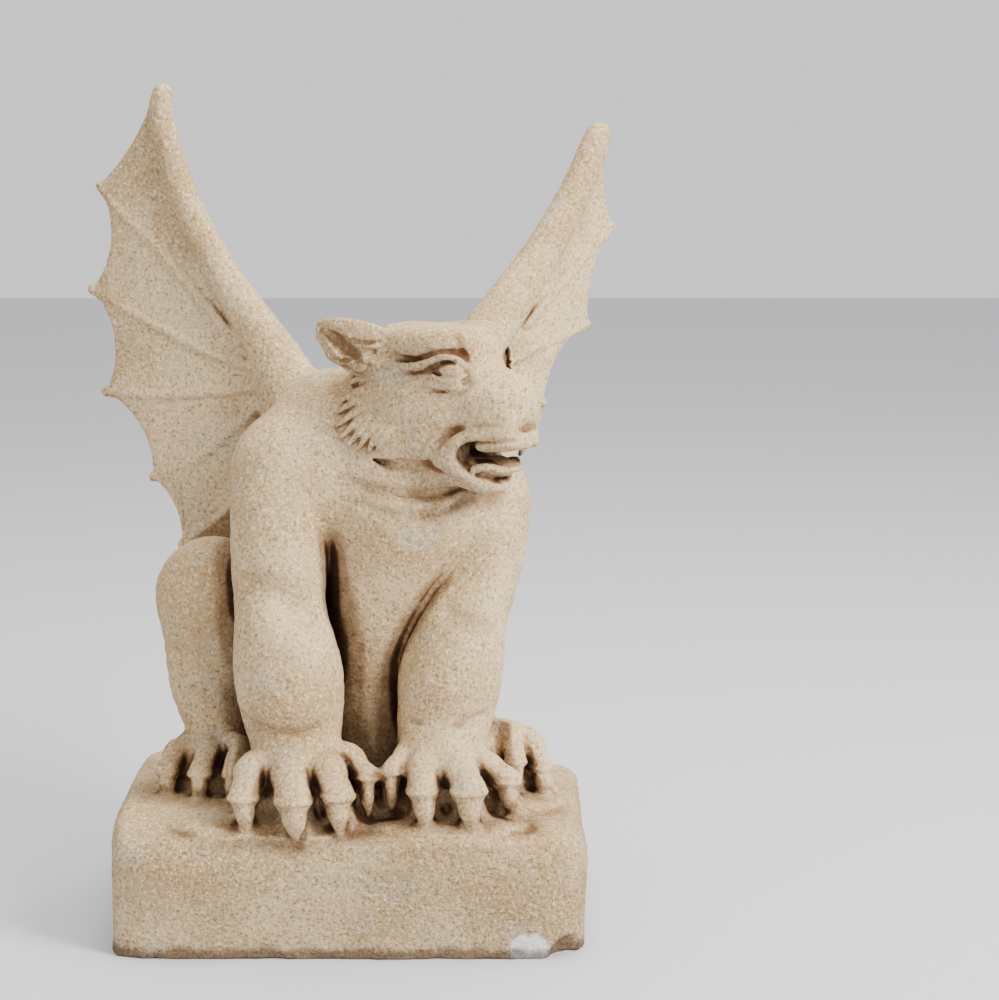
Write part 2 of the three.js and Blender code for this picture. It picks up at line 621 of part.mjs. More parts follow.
// ---------------------------------------------------------------- the whole figure
function figure() {
  return new Form()
    .join(plinth())
    .join(headOn(trunk()), 10)
    .join(hindleg(LEFT_HIND), 10)
    .join(hindleg(RIGHT_HIND), 10)
    .join(foot(LEFT_FOOT), 8)
    .join(foot(RIGHT_FOOT), 8)
    .join(foreleg(LEFT_ARM), 7)
    .join(foreleg(RIGHT_ARM), 7)
    .join(paw(LEFT_PALM, LEFT_TOES), 9)
    .join(paw(RIGHT_PALM, RIGHT_TOES), 9)
    .join(wing(LEFT_WING), 18)
    .join(wing(RIGHT_WING), 18)
    .close();
}

// ---------------------------------------------------------------- closed surface of a form
// six tetrahedra around the long diagonal of a cube, corners as bits x + 2y + 4z
const TETRAHEDRA = [[0, 1, 3, 7], [0, 3, 2, 7], [0, 2, 6, 7], [0, 6, 4, 7], [0, 4, 5, 7], [0, 5, 1, 7]];
const BLOCK = 12;
const cornerOf = (bits) => [bits & 1, (bits >> 1) & 1, (bits >> 2) & 1];

// the cut of one tetrahedron as a ring of crossed edges, facing the empty side
function crossedEdges(tetrahedron, corner) {
  const solid = tetrahedron.filter((c) => corner[c] < 0);
  const empty = tetrahedron.filter((c) => corner[c] >= 0);
  if (!solid.length || !empty.length) return [];
  const order = [...solid, ...empty].map((c) => tetrahedron.indexOf(c));
  let swaps = 0;
  order.forEach((n, at) => {
    swaps += order.slice(at + 1).filter((m) => m < n).length;
  });
  let ring;
  if (solid.length === 1) ring = empty.map((c) => [solid[0], c]);
  else if (solid.length === 3) ring = solid.map((c) => [c, empty[0]]);
  else ring = [[solid[0], empty[0]], [solid[0], empty[1]], [solid[1], empty[1]], [solid[1], empty[0]]];
  return swaps % 2 === 1 ? ring.reverse() : ring;
}

function surfaceOf(form, cell, lowest, highest) {
  const blocks = lowest.map((v, i) => Math.ceil((highest[i] - v) / cell / BLOCK));
  const side = blocks.map((n) => (n + 1) * BLOCK);
  const indexOf = ([i, j, k]) => i + side[0] * (j + side[1] * k);
  const values = new Float32Array(side[0] * side[1] * side[2]).fill(NaN);
  const size = cell * BLOCK;
  const radius = (size * Math.sqrt(3)) / 2;
  const smallest = cell * 0.02;
  const middleOf = (block) => block.map((b, i) => lowest[i] + (b + 0.5) * size);
  // the shapes that matter in each block, worked out once
  const locals = new Map();
  const localForm = (block) => {
    const key = indexOf(block);
    if (!locals.has(key)) locals.set(key, form.near(middleOf(block), radius));
    return locals.get(key);
  };
  const valueAt = (at) => {
    const index = indexOf(at);
    if (Number.isNaN(values[index])) {
      const local = localForm(at.map((n) => Math.floor(n / BLOCK)));
      const d = local ? local.distance(...at.map((n, i) => lowest[i] + n * cell)) : size;
      values[index] = Math.abs(d) < smallest ? Math.sign(d || 1) * smallest : d;
    }
    return values[index];
  };
  const places = [];
  const faces = [];
  const known = new Map();
  const crossing = (at, corner, a, b) => {
    const [p, q] = a < b ? [a, b] : [b, a];
    const start = add(at, cornerOf(p));
    const key = indexOf(start) * 8 + (q - p);
    if (!known.has(key)) {
      known.set(key, places.length / 3);
      const t = corner[p] / (corner[p] - corner[q]);
      const along = cornerOf(q - p);
      places.push(...start.map((n, i) => lowest[i] + cell * (n + t * along[i])));
    }
    return known.get(key);
  };
  const fill = (at) => {
    const corner = [0, 1, 2, 3, 4, 5, 6, 7].map((bits) => valueAt(add(at, cornerOf(bits))));
    const solid = corner.filter((v) => v < 0).length;
    if (solid === 0 || solid === 8) return;
    for (const tetrahedron of TETRAHEDRA) {
      const ring = crossedEdges(tetrahedron, corner).map(([a, b]) => crossing(at, corner, a, b));
      for (let i = 2; i < ring.length; i += 1) faces.push(ring[0], ring[i - 1], ring[i]);
    }
  };
  const layer = blocks[0] * blocks[1];
  for (let n = 0; n < layer * blocks[2]; n += 1) {
    const block = [n % blocks[0], Math.floor(n / blocks[0]) % blocks[1], Math.floor(n / layer)];
    const local = localForm(block);
    if (!local || Math.abs(local.distance(...middleOf(block))) > radius * 1.9) continue;
    for (let m = 0; m < BLOCK ** 3; m += 1) {
      const cube = [m % BLOCK, Math.floor(m / BLOCK) % BLOCK, Math.floor(m / BLOCK ** 2)];
      fill(cube.map((v, i) => v + block[i] * BLOCK));
    }
  }
  return { places, faces };
}

// ---------------------------------------------------------------- fewer triangles
// Edges are collapsed cheapest first; the cost is the squared distance to the planes of the faces around.
class CheapestFirst {
  constructor() {
    this.items = [];
  }

  swap(i, j) {
    [this.items[i], this.items[j]] = [this.items[j], this.items[i]];
  }

  push(item) {
    this.items.push(item);
    let i = this.items.length - 1;
    while (i > 0) {
      const parent = (i - 1) >> 1;
      if (this.items[parent].cost <= this.items[i].cost) break;
      this.swap(i, parent);
      i = parent;
    }
  }

  pop() {
    const top = this.items[0];
    const last = this.items.pop();
    if (!this.items.length) return top;
    this.items[0] = last;
    let i = 0;
    for (;;) {
      let least = i;
      for (const child of [2 * i + 1, 2 * i + 2]) {
        if (child < this.items.length && this.items[child].cost < this.items[least].cost) least = child;
      }
      if (least === i) return top;
      this.swap(i, least);
      i = least;
    }
  }
}

function simplified(surface, wanted) {
  const place = Float64Array.from(surface.places);
  const face = Int32Array.from(surface.faces);
  const corners = (f) => [face[3 * f], face[3 * f + 1], face[3 * f + 2]];
  const at = (v) => [place[3 * v], place[3 * v + 1], place[3 * v + 2]];
  const alive = new Uint8Array(face.length / 3).fill(1);
  const around = Array.from({ length: place.length / 3 }, () => []);
  const stamp = new Int32Array(place.length / 3);
  const gone = new Uint8Array(place.length / 3);
  const quadric = new Float64Array((place.length / 3) * 10);
  const crossOf = ([ax, ay, az], [bx, by, bz], [cx, cy, cz]) => {
    const [ux, uy, uz, vx, vy, vz] = [bx - ax, by - ay, bz - az, cx - ax, cy - ay, cz - az];
    return [uy * vz - uz * vy, uz * vx - ux * vz, ux * vy - uy * vx];
  };
  for (let f = 0; f < alive.length; f += 1) {
    const [a, b, c] = corners(f).map(at);
    const cross = crossOf(a, b, c);
    const area = Math.hypot(...cross) || 1e-12;
    const [x, y, z] = scale(cross, 1 / area);
    const d = -(x * a[0] + y * a[1] + z * a[2]);
    const q = [x * x, x * y, x * z, x * d, y * y, y * z, y * d, z * z, z * d, d * d];
    for (const v of corners(f)) {
      around[v].push(f);
      for (let i = 0; i < 10; i += 1) quadric[10 * v + i] += q[i] * area;
    }
  }
  const queue = new CheapestFirst();
  const candidate = (a, b) => {
    const q = [];
    for (let i = 0; i < 10; i += 1) q.push(quadric[10 * a + i] + quadric[10 * b + i]);
    const middle = mix(at(a), at(b), 0.5);
    const length2 = 4 * ((middle[0] - place[3 * a]) ** 2 + (middle[1] - place[3 * a + 1]) ** 2
      + (middle[2] - place[3 * a + 2]) ** 2);
    // best place for the joined corner, drawn slightly to the middle of the edge
    const pull = 1e-3 * (q[0] + q[4] + q[7]) + 1e-9;
    const [A, B, C, D, E, G] = [q[0] + pull, q[1], q[2], q[4] + pull, q[5], q[7] + pull];
    const [r, s, t] = [pull * middle[0] - q[3], pull * middle[1] - q[6], pull * middle[2] - q[8]];
    const whole = A * (D * G - E * E) - B * (B * G - E * C) + C * (B * E - D * C);
    const best = [
      (r * (D * G - E * E) - B * (s * G - E * t) + C * (s * E - D * t)) / whole,
      (A * (s * G - E * t) - r * (B * G - E * C) + C * (B * t - s * C)) / whole,
      (A * (D * t - s * E) - B * (B * t - s * C) + r * (B * E - D * C)) / whole,
    ];
    const shift2 = (best[0] - middle[0]) ** 2 + (best[1] - middle[1]) ** 2 + (best[2] - middle[2]) ** 2;
    const [x, y, z] = Math.abs(whole) > 1e-12 && shift2 < 4 * length2 ? best : middle;
    const miss = q[0] * x * x + 2 * q[1] * x * y + 2 * q[2] * x * z + 2 * q[3] * x + q[4] * y * y
      + 2 * q[5] * y * z + 2 * q[6] * y + q[7] * z * z + 2 * q[8] * z + q[9];
    return { a, b, goal: [x, y, z], cost: Math.max(miss, 0) + 1e-4 * length2, stamps: [stamp[a], stamp[b]] };
  };
  const neighbours = (v) => new Set(around[v].flatMap(corners).filter((w) => w !== v));
  // true when no face that stays would fold over or vanish as its corner moves to the goal
  const staysFair = (v, other, goal) => around[v].every((f) => {
    const old = corners(f);
    if (old.includes(other)) return true;
    const before = crossOf(...old.map(at));
    const after = crossOf(...old.map((w) => (w === v ? goal : at(w))));
    const [was, is] = [Math.hypot(...before), Math.hypot(...after)];
    return is > 1e-2 && before[0] * after[0] + before[1] * after[1] + before[2] * after[2] > 0.25 * was * is;
  });
  for (let f = 0; f < alive.length; f += 1) {
    const [a, b, c] = corners(f);
    for (const [p, q] of [[a, b], [b, c], [c, a]]) if (p < q) queue.push(candidate(p, q));
  }
  let left = alive.length;
  while (left > wanted && queue.items.length) {
    const { a, b, goal, stamps } = queue.pop();
    if (gone[a] || gone[b] || stamps[0] !== stamp[a] || stamps[1] !== stamp[b]) continue;
    const beside = neighbours(b);
    if ([...neighbours(a)].filter((v) => beside.has(v)).length !== 2) continue;
    if (!staysFair(a, b, goal) || !staysFair(b, a, goal)) continue;
    place.set(goal, 3 * a);
    for (let i = 0; i < 10; i += 1) quadric[10 * a + i] += quadric[10 * b + i];
    gone[b] = 1;
    stamp[a] += 1;
    for (const f of around[a].filter((g) => corners(g).includes(b))) {
      alive[f] = 0;
      left -= 1;
    }
    for (const f of around[b]) for (let i = 0; i < 3; i += 1) if (face[3 * f + i] === b) face[3 * f + i] = a;
    around[a] = [...around[a], ...around[b]].filter((f, i, all) => alive[f] && all.indexOf(f) === i);
    for (const v of neighbours(a)) {
      around[v] = around[v].filter((f) => alive[f]);
      queue.push(candidate(a, v));
    }
  }
  const index = new Map();
  const places = [];
  const faces = [];
  for (let f = 0; f < alive.length; f += 1) {
    if (!alive[f]) continue;
    for (const v of corners(f)) {
      if (!index.has(v)) {
        index.set(v, places.length / 3);
        places.push(...at(v));
      }
      faces.push(index.get(v));
    }
  }
  return { places, faces };
}

// ---------------------------------------------------------------- mesh
const FLAT_UNDER = 0.1;
function gargoyle() {
  const { places, faces } = simplified(surfaceOf(figure(), CELL, LOWEST, HIGHEST), TRIANGLES);
  // the underside is dead flat
  const flattened = places.map((v, i) => (i % 3 === 2 && v < FLAT_UNDER ? 0 : v));
  const geometry = new THREE.BufferGeometry();
  geometry.setAttribute('position', new THREE.Float32BufferAttribute(flattened, 3));
  geometry.setIndex(faces);
  geometry.computeVertexNormals();
  const { colour, roughness, metalness } = STONE;
  const stone = new THREE.MeshStandardMaterial({ color: colour, roughness, metalness });
  const mesh = new THREE.Mesh(geometry, stone);
  mesh.name = 'gargoyle';
  return mesh;
}

const part = new THREE.Group();
part.name = 'stone_gargoyle';
part.add(gargoyle());

export default part;
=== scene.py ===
"""Looks of the stone gargoyle: the carved form at full detail, its weathered stone, floor, light and camera."""
import math

import bpy
import numpy as np
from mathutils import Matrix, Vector


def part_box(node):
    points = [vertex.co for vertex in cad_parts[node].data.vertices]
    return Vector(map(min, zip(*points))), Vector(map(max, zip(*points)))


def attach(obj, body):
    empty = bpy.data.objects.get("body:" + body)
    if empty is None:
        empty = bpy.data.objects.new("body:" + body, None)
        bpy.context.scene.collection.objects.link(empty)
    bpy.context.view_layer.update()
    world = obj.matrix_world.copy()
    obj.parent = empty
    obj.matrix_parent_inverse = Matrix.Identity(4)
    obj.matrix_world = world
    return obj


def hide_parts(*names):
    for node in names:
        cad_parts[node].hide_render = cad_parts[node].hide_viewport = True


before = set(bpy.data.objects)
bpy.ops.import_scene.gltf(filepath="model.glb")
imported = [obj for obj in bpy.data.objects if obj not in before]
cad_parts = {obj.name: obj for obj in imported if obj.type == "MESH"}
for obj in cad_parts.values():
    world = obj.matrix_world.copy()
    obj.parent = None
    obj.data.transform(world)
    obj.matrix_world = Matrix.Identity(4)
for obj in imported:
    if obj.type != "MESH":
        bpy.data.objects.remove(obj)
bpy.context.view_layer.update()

# ---------------------------------------------------------------- driving values
FIGURE_HEIGHT = 800.14               # height of the figure in the sculpture's own millimetres
NODE_LOW, NODE_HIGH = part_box("gargoyle")
METRES = (NODE_HIGH.z - NODE_LOW.z) / FIGURE_HEIGHT
CELL = 1.7    # sampling step of the sculpture, millimetres
TRIANGLES = 195_000
LOWEST = np.array([-292.0, -184.0, -5.3], np.float32)
HIGHEST = np.array([276.0, 270.0, 812.0], np.float32)
LEAF = 16                            # grid cells along the side of the smallest block
FAR = 90.0

PLINTH_MIDDLE = -8
PLINTH_HALF_WIDTH = 224
PLINTH_HALF_DEPTH = 166
PLINTH_TOP = 118
HEAD_CENTRE = np.array([62, -55, 520], float)
HEAD_YAW = math.radians(57)
WING_HALF_THICKNESS = 5.5
WING_EDGE_ROUND = 2.5
FAR_EAR_DROP = 13


# ---------------------------------------------------------------- forms: signed distances, negative inside
def soft_min(a, b, width):
    """The smaller of two distances, with a fillet of the given width."""
    least = np.minimum(a, b)
    if width <= 0:
        return least
    overlap = np.maximum(width - np.abs(a - b), 0)
    return least - overlap * overlap * (0.25 / width)


class Form:
    """Shapes joined and cut one after the other, each with its own fillet."""

    def __init__(self, steps=()):
        self.steps = list(steps)

    def join(self, shape, blend=0.0):
        self.steps.append((1, shape, blend))
        return self

    def cut(self, shape, blend=0.0):
        self.steps.append((-1, shape, blend))
        return self

    def close(self):
        joined = [shape for sign, shape, blend in self.steps if sign > 0]
        low = np.min([s.centre - s.reach for s in joined], axis=0)
        high = np.max([s.centre + s.reach for s in joined], axis=0)
        self.centre = (low + high) / 2
        self.reach = float(np.linalg.norm(high - low)) / 2
        return self

    def near(self, centre, radius):
        """The same form with only the shapes that matter inside a sphere, or None."""
        kept = []
        for sign, shape, blend in self.steps:
            margin = radius + 1.6 * blend + 4
            if math.dist(shape.centre, centre) - shape.reach > margin:
                continue
            local = shape.near(centre, margin)
            if local is not None:
                kept.append((sign, local, blend))
        if not any(sign > 0 for sign, shape, blend in kept):
            return None
        part = Form(kept)
        part.centre, part.reach = self.centre, self.reach
        return part

    def distance(self, p):
        d = np.full(p.shape[1], FAR, np.float32)
        for sign, shape, blend in self.steps:
            e = shape.distance(p)
            d = soft_min(d, e, blend) if sign > 0 else -soft_min(-d, e, blend)
        return d


class Shape:
    def __init__(self, centre, reach):
        self.centre = np.asarray(centre, float)
        self.reach = float(reach)

    def near(self, centre, radius):
        return self


def column(values):
    return np.asarray(values, np.float32).reshape(3, 1)


def turned(degrees):
    """World axes turned about Z, as rows."""
    c, s = math.cos(math.radians(degrees)), math.sin(math.radians(degrees))
    return [[c, s, 0], [-s, c, 0], [0, 0, 1]]


WORLD = [[1, 0, 0], [0, 1, 0], [0, 0, 1]]


class Egg(Shape):
    def __init__(self, centre, radii, turn=WORLD):
        super().__init__(centre, max(radii))
        self.middle, self.radii, self.turn = column(centre), column(radii), np.asarray(turn, np.float32)

    def distance(self, p):
        q = (self.turn @ (p - self.middle)) / self.radii
        near = np.sqrt((q * q).sum(0)) + 1e-6
        q /= self.radii
        return near * (near - 1) / (np.sqrt((q * q).sum(0)) + 1e-9)


class Box(Shape):
    """Box with rounded edges."""

    def __init__(self, centre, half, edge, turn=WORLD):
        core = np.asarray(half, float) - edge
        super().__init__(centre, np.linalg.norm(core) + edge)
        self.middle, self.core, self.edge = column(centre), column(core), edge
        self.turn = np.asarray(turn, np.float32)

    def distance(self, p):
        q = np.abs(self.turn @ (p - self.middle)) - self.core
        out = np.maximum(q, 0)
        return np.sqrt((out * out).sum(0)) + np.minimum(q.max(0), 0) - self.edge


class Beyond(Shape):
    """Everything on the outer side of a plane."""

    def __init__(self, point, normal):
        super().__init__((0, 0, 0), 2000)
        n = np.asarray(normal, float) / np.linalg.norm(normal)
        self.normal, self.offset = n.astype(np.float32), float(n @ np.asarray(point, float))

    def distance(self, p):
        return self.offset - self.normal @ p


class Links(Shape):
    """Round tube of changing radius; press = (axis, factor) makes it thinner along the axis."""

    def __init__(self, starts, ends, press):
        self.starts, self.ends, self.press = starts, ends, press
        rows = np.vstack([starts, ends])
        low = (rows[:, :3] - rows[:, 3:]).min(0)
        high = (rows[:, :3] + rows[:, 3:]).max(0)
        super().__init__((low + high) / 2, np.linalg.norm(high - low) / 2)
        self.middles = (starts[:, :3] + ends[:, :3]) / 2
        step = ends[:, :3] - starts[:, :3]
        self.reaches = np.linalg.norm(step, axis=1) / 2 + np.maximum(starts[:, 3], ends[:, 3])
        self.origins = starts[:, :3].T[:, :, None].astype(np.float32)
        self.steps = step.T.astype(np.float32)
        self.lengths2 = ((step ** 2).sum(1) + 1e-9).astype(np.float32)[:, None]
        self.radius = starts[:, 3:].astype(np.float32)
        self.slim = (ends[:, 3:] - starts[:, 3:]).astype(np.float32)

    def near(self, centre, radius):
        gap = np.linalg.norm(self.middles - np.asarray(centre), axis=1)
        kept = gap < self.reaches + radius + 2
        if kept.all():
            return self
        return Links(self.starts[kept], self.ends[kept], self.press) if kept.any() else None

    def distance(self, p):
        away = p[:, None, :] - self.origins
        t = np.clip(np.einsum("km,kmn->mn", self.steps, away) / self.lengths2, 0, 1)
        away -= self.steps[:, :, None] * t
        squared = np.einsum("kmn,kmn->mn", away, away)
        shrink = 1.0
        if self.press:
            axis, factor = self.press
            side = np.einsum("k,kmn->mn", np.asarray(axis, np.float32), away)
            squared += (factor * factor - 1) * side * side
            shrink = 1 / (0.5 + 0.5 * factor)
        return (np.sqrt(squared) - self.radius - t * self.slim).min(0) * np.float32(shrink)


def smooth_path(rows, steps):
    """Catmull-Rom path through rows of numbers, place and radius alike."""
    p = np.asarray(rows, float)
    if len(p) < 3 or steps < 2:
        return p
    p = np.vstack([2 * p[0] - p[1], p, 2 * p[-1] - p[-2]])
    t = (np.arange(steps) / steps)[:, None]
    path = []
    for a, b, c, d in zip(p, p[1:], p[2:], p[3:]):
        path.append(0.5 * (2 * b + (c - a) * t + (2 * a - 5 * b + 4 * c - d) * t ** 2
                           + (3 * b - a - 3 * c + d) * t ** 3))
    return np.vstack(path + [p[-2]])


def tube(rows, steps=5, press=None):
    """Rows are x, y, z, radius."""
    path = smooth_path(rows, steps)
    return Links(path[:-1], path[1:], press)


def add(a, b):
    return [u + v for u, v in zip(a, b)]


def mix(a, b, t):
    return [u + t * (v - u) for u, v in zip(a, b)]


def meet(form, start, toward, lift=0.0):
    """The first place of a form's surface met from a start in a direction, raised by lift."""
    at = np.array(start, float)
    for _ in range(90):
        d = float(form.distance(at.astype(np.float32).reshape(3, 1))[0]) - lift
        if d < 0.05:
            break
        at += np.asarray(toward) * max(d * 0.7, 0.1)
    return at.tolist()


def waves(p, size):
    """Slow waves between about -1 and 1, for worn and rough stone."""
    x, y, z = p / size
    return (np.sin(1.9 * x + 0.7 * y + 1.3 * z) + np.sin(-1.1 * x + 2.3 * y + 0.9 * z + 1.7)
            + np.sin(0.8 * x - 1.4 * y + 2.6 * z + 4.1) + np.sin(2.9 * x + 1.7 * y - 1.9 * z + 2.9)) / 3


class Worn(Shape):
    """A shape whose surface is uneven."""

    def __init__(self, shape, depth, size):
        super().__init__(shape.centre, shape.reach + depth)
        self.shape, self.depth, self.size = shape, depth, size

    def distance(self, p):
        return self.shape.distance(p) + self.depth * waves(p, self.size)


# ---------------------------------------------------------------- plinth
MOUNDS = [(-80, -138, 66, 24), (92, -126, 62, 26), (-148, -50, 48, 40), (152, -40, 44, 36)]


def plinth():
    wide, deep, top = PLINTH_HALF_WIDTH, PLINTH_HALF_DEPTH, PLINTH_TOP
    form = Form()
    form.join(Worn(Box((PLINTH_MIDDLE, 0, 50), (wide, deep, 90), 14), 1.6, 42))
    # upright corners, worn round
    form.cut(Beyond((196, -deep, 0), (0.72, -0.69, 0.02)), 22)
    form.cut(Beyond((-212, -deep, 0), (-0.62, -0.78, 0.04)), 22)
    form.cut(Beyond((-226, -deep, 0), (-0.998, -0.03, 0)), 8)
    form.cut(Beyond((-229, deep, 0), (-0.7, 0.7, 0.03)), 16)
    form.cut(Beyond((200, deep, 0), (0.7, 0.7, 0.05)), 22)
    # top: nearly level under the feet, falling to the front, to the right end and to the back
    form.cut(Beyond((0, 0, top), (0.03, 0, 1)), 16)
    form.cut(Beyond((0, -148, top - 4), (0, -0.5, 0.86)), 24)
    form.cut(Beyond((202, 0, top - 3), (0.55, 0, 0.84)), 22)
    form.cut(Beyond((0, 0, top + 5), (0.03, 0.11, 0.99)), 12)
    for x, y, rx, ry in MOUNDS:
        form.join(Egg((x, y, top - 6), (rx, ry, 10)), 18)
    form.cut(Egg((-72, -196, 124), (105, 46, 36)), 26)
    # chipped lower corner
    form.cut(Egg((203, -158, 4), (20, 16, 15)), 6)
    form.cut(Egg((190, -168, 2), (12, 9, 9)), 5)
    form.cut(Beyond((0, 0, 0), (0, 0, -1)))
    return form.close()


# ---------------------------------------------------------------- trunk
BELLY = [(42, -26, 400, 70), (27, -24, 340, 57), (14, -16, 272, 43), (8, -8, 225, 35), (5, 2, 140, 32)]
SPINE = [(-22, 34, 462, 60), (-2, 56, 425, 78), (10, 74, 345, 87), (14, 76, 245, 90), (16, 74, 170, 84)]
NAPE = [(-18, 10, 456, 62), (14, -20, 470, 58), (42, -38, 470, 52)]
# folds of the throat as x, z, depth of the groove
THROAT_FOLDS = [
    [(-12, 438, 1.5), (8, 430, 4), (40, 426, 4), (80, 424, 4), (100, 430, 1.5)],
    [(4, 416, 1.5), (22, 407, 4), (52, 403, 4), (84, 408, 4), (100, 416, 1.5)],
]


def laid_on_front(form, rows, start):
    return [meet(form, (x, start, z), (0, 1, 0), 1) + [r] for x, z, r in rows]


def trunk():
    form = Form()
    form.join(Egg((34, 10, 410), (84, 88, 96), turned(14)))
    form.join(tube(BELLY, 12), 30)
    form.join(tube(SPINE, 10), 40)
    form.join(tube(NAPE, 8), 36)
    # shoulders
    form.join(Egg((-62, -24, 438), (58, 56, 56), turned(14)), 26)
    form.join(Egg((108, -2, 405), (56, 50, 54), turned(14)), 26)
    form.join(Egg((-34, -36, 424), (42, 42, 52)), 20)
    form.close()
    for fold in THROAT_FOLDS:
        form.cut(tube(laid_on_front(form, fold, -220)), 7)
    # haunches and rump resting on the plinth
    form.join(Egg((-88, 60, 164), (58, 66, 72), turned(14)), 20)
    form.join(Egg((84, 78, 162), (46, 64, 70), turned(14)), 20)
    form.join(Egg((12, 96, 140), (96, 58, 46)), 20)
    return form.close()


# ---------------------------------------------------------------- legs, feet and claws
LEFT_ARM = dict(
    upper=[(-68, -34, 430, 49), (-73, -50, 395, 46), (-73, -60, 350, 45), (-72, -64, 312, 42)],
    lower=[(-72, -74, 310, 41), (-67, -82, 276, 48), (-63, -84, 246, 51), (-60, -80, 212, 47),
           (-58, -82, 186, 41), (-58, -90, 172, 38)],
    creases=[[(-96, 340, 4), (-78, 334, 7), (-58, 325, 8), (-44, 314, 7)],
             [(-104, 214, 1.5), (-84, 205, 3), (-58, 202, 3.2), (-34, 206, 1.5)]])
RIGHT_ARM = dict(
    upper=[(115, -6, 400, 49), (116, -16, 370, 46), (110, -28, 330, 42), (105, -36, 306, 39)],
    lower=[(101, -46, 304, 39), (94, -54, 270, 46), (88, -58, 243, 49), (84, -58, 212, 46),
           (80, -62, 186, 42), (80, -74, 172, 37)],
    creases=[[(86, 311, 2), (100, 305, 5), (120, 299, 5), (132, 293, 2.5)],
             [(52, 208, 1.5), (72, 203, 3), (98, 205, 3.2), (120, 212, 1.5)]])


CREASE_SPREAD = 3                    # fillet of an elbow fold against its depth


def foreleg(upper, lower, creases):
    form = Form().join(tube(upper, 10)).join(tube(lower, 8), 6).close()
    laid = [(rows[1][2], laid_on_front(form, rows, -260)) for rows in creases]
    for depth, path in laid:
        form.cut(tube(path), CREASE_SPREAD * depth)
    return form.close()


def toe(heel, knuckle, collar, tip, wide):
    """Arched finger, the collar at its end and the claw that comes out of it."""
    form = Form()
    form.join(tube([
        add(heel, (0, 0, -wide * 0.3)) + [wide],
        add(knuckle, (0, 2, -wide)) + [wide * 1.12],
        add(mix(knuckle, collar, 0.5), (0, 3, -wide * 0.6)) + [wide * 1.02],
        add(collar, (0, 3, -wide * 0.1)) + [wide * 1.04]]))
    form.join(Egg(add(collar, (0, 1, -2)), (wide * 1.17, wide * 1.12, wide * 0.36)), 2)
    # stone left standing behind the finger
    form.join(tube([add(knuckle, (0, 17, -22)) + [wide], [tip[0], tip[1] + 27, 116, wide]]), 4)
    aim = np.subtract(tip, collar) / math.dist(tip, collar)
    form.join(tube([
        add(collar, aim * wide * 0.2) + [wide * 0.8],
        add(mix(collar, tip, 0.5), (0, -3, 0)) + [wide * 0.66],
        add(tip, (0, 1, 0)) + [2.4]]), 1)
    return form.close()


# toes as knuckle, collar, claw tip, half width
LEFT_PALM = (-57, -92, 160)
LEFT_TOES = [
    ((-96, -120, 182), (-102, -141, 149), (-99, -146, 116), 13.5),
    ((-60, -128, 184), (-55, -154, 150), (-52, -159, 113), 16.5),
    ((-25, -124, 184), (-15, -146, 152), (-12, -149, 116), 15),
    ((-6, -100, 186), (10, -118, 162), (12, -121, 126), 11)]
RIGHT_PALM = (81, -78, 160)
RIGHT_TOES = [
    ((48, -94, 186), (35, -114, 166), (34, -118, 130), 10.5),
    ((64, -114, 181), (64, -135, 154), (67, -141, 117), 14.5),
    ((97, -114, 181), (106, -139, 155), (110, -143, 115), 16),
    ((121, -94, 178), (142, -108, 155), (146, -112, 121), 12.5)]


def paw(palm, toes):
    x, y, z = palm
    form = Form().join(tube([(x, y, z + 18, 38), (x, y - 8, z, 34)]))
    form.join(Egg((x, y - 6, z - 28), (60, 27, 40)), 10)
    for knuckle, collar, tip, wide in toes:
        form.join(toe(add(mix(palm, knuckle, 0.5), (0, 2, 12)), knuckle, collar, tip, wide), 6)
    return form.close()


LEFT_HIND = dict(hip=(-42, 82, 212, 78), knee=(-142, 2, 310, 53), shin=(-152, 10, 228, 37),
                 ankle=(-143, 4, 176, 27))
RIGHT_HIND = dict(hip=(60, 92, 205, 74), knee=(78, 36, 278, 46), shin=(88, 38, 216, 32),
                  ankle=(104, 18, 174, 25))


def hindleg(hip, knee, shin, ankle):
    x, y, z, r = knee
    form = Form().join(tube([hip, mix(hip, knee, 0.5), knee]))
    return form.join(tube([(x, y, z, r * 0.94), shin, ankle]), 20).close()


LEFT_SOLE = (-146, -8, 152)
LEFT_FOOT_TOES = [
    ((-177, -30, 172), (-184, -50, 148), (-184, -57, 121), 11),
    ((-146, -38, 175), (-151, -64, 150), (-152, -72, 121), 11),
    ((-116, -40, 178), (-119, -66, 150), (-120, -72, 121), 11)]
RIGHT_SOLE = (134, 0, 152)
RIGHT_FOOT_TOES = [
    ((146, -20, 186), (150, -44, 156), (150, -56, 121), 10.5),
    ((165, -10, 177), (175, -32, 148), (180, -42, 114), 11),
    ((116, -26, 180), (116, -52, 150), (116, -60, 121), 11)]


def foot(sole, toes):
    x, y, z = sole
    form = Form().join(Egg(sole, (36, 34, 34))).join(Egg((x, y - 6, z - 22), (48, 30, 34)), 8)
    for knuckle, collar, tip, wide in toes:
        form.join(toe(add(mix(sole, knuckle, 0.4), (0, 4, 12)), knuckle, collar, tip, wide), 6)
    return form.close()


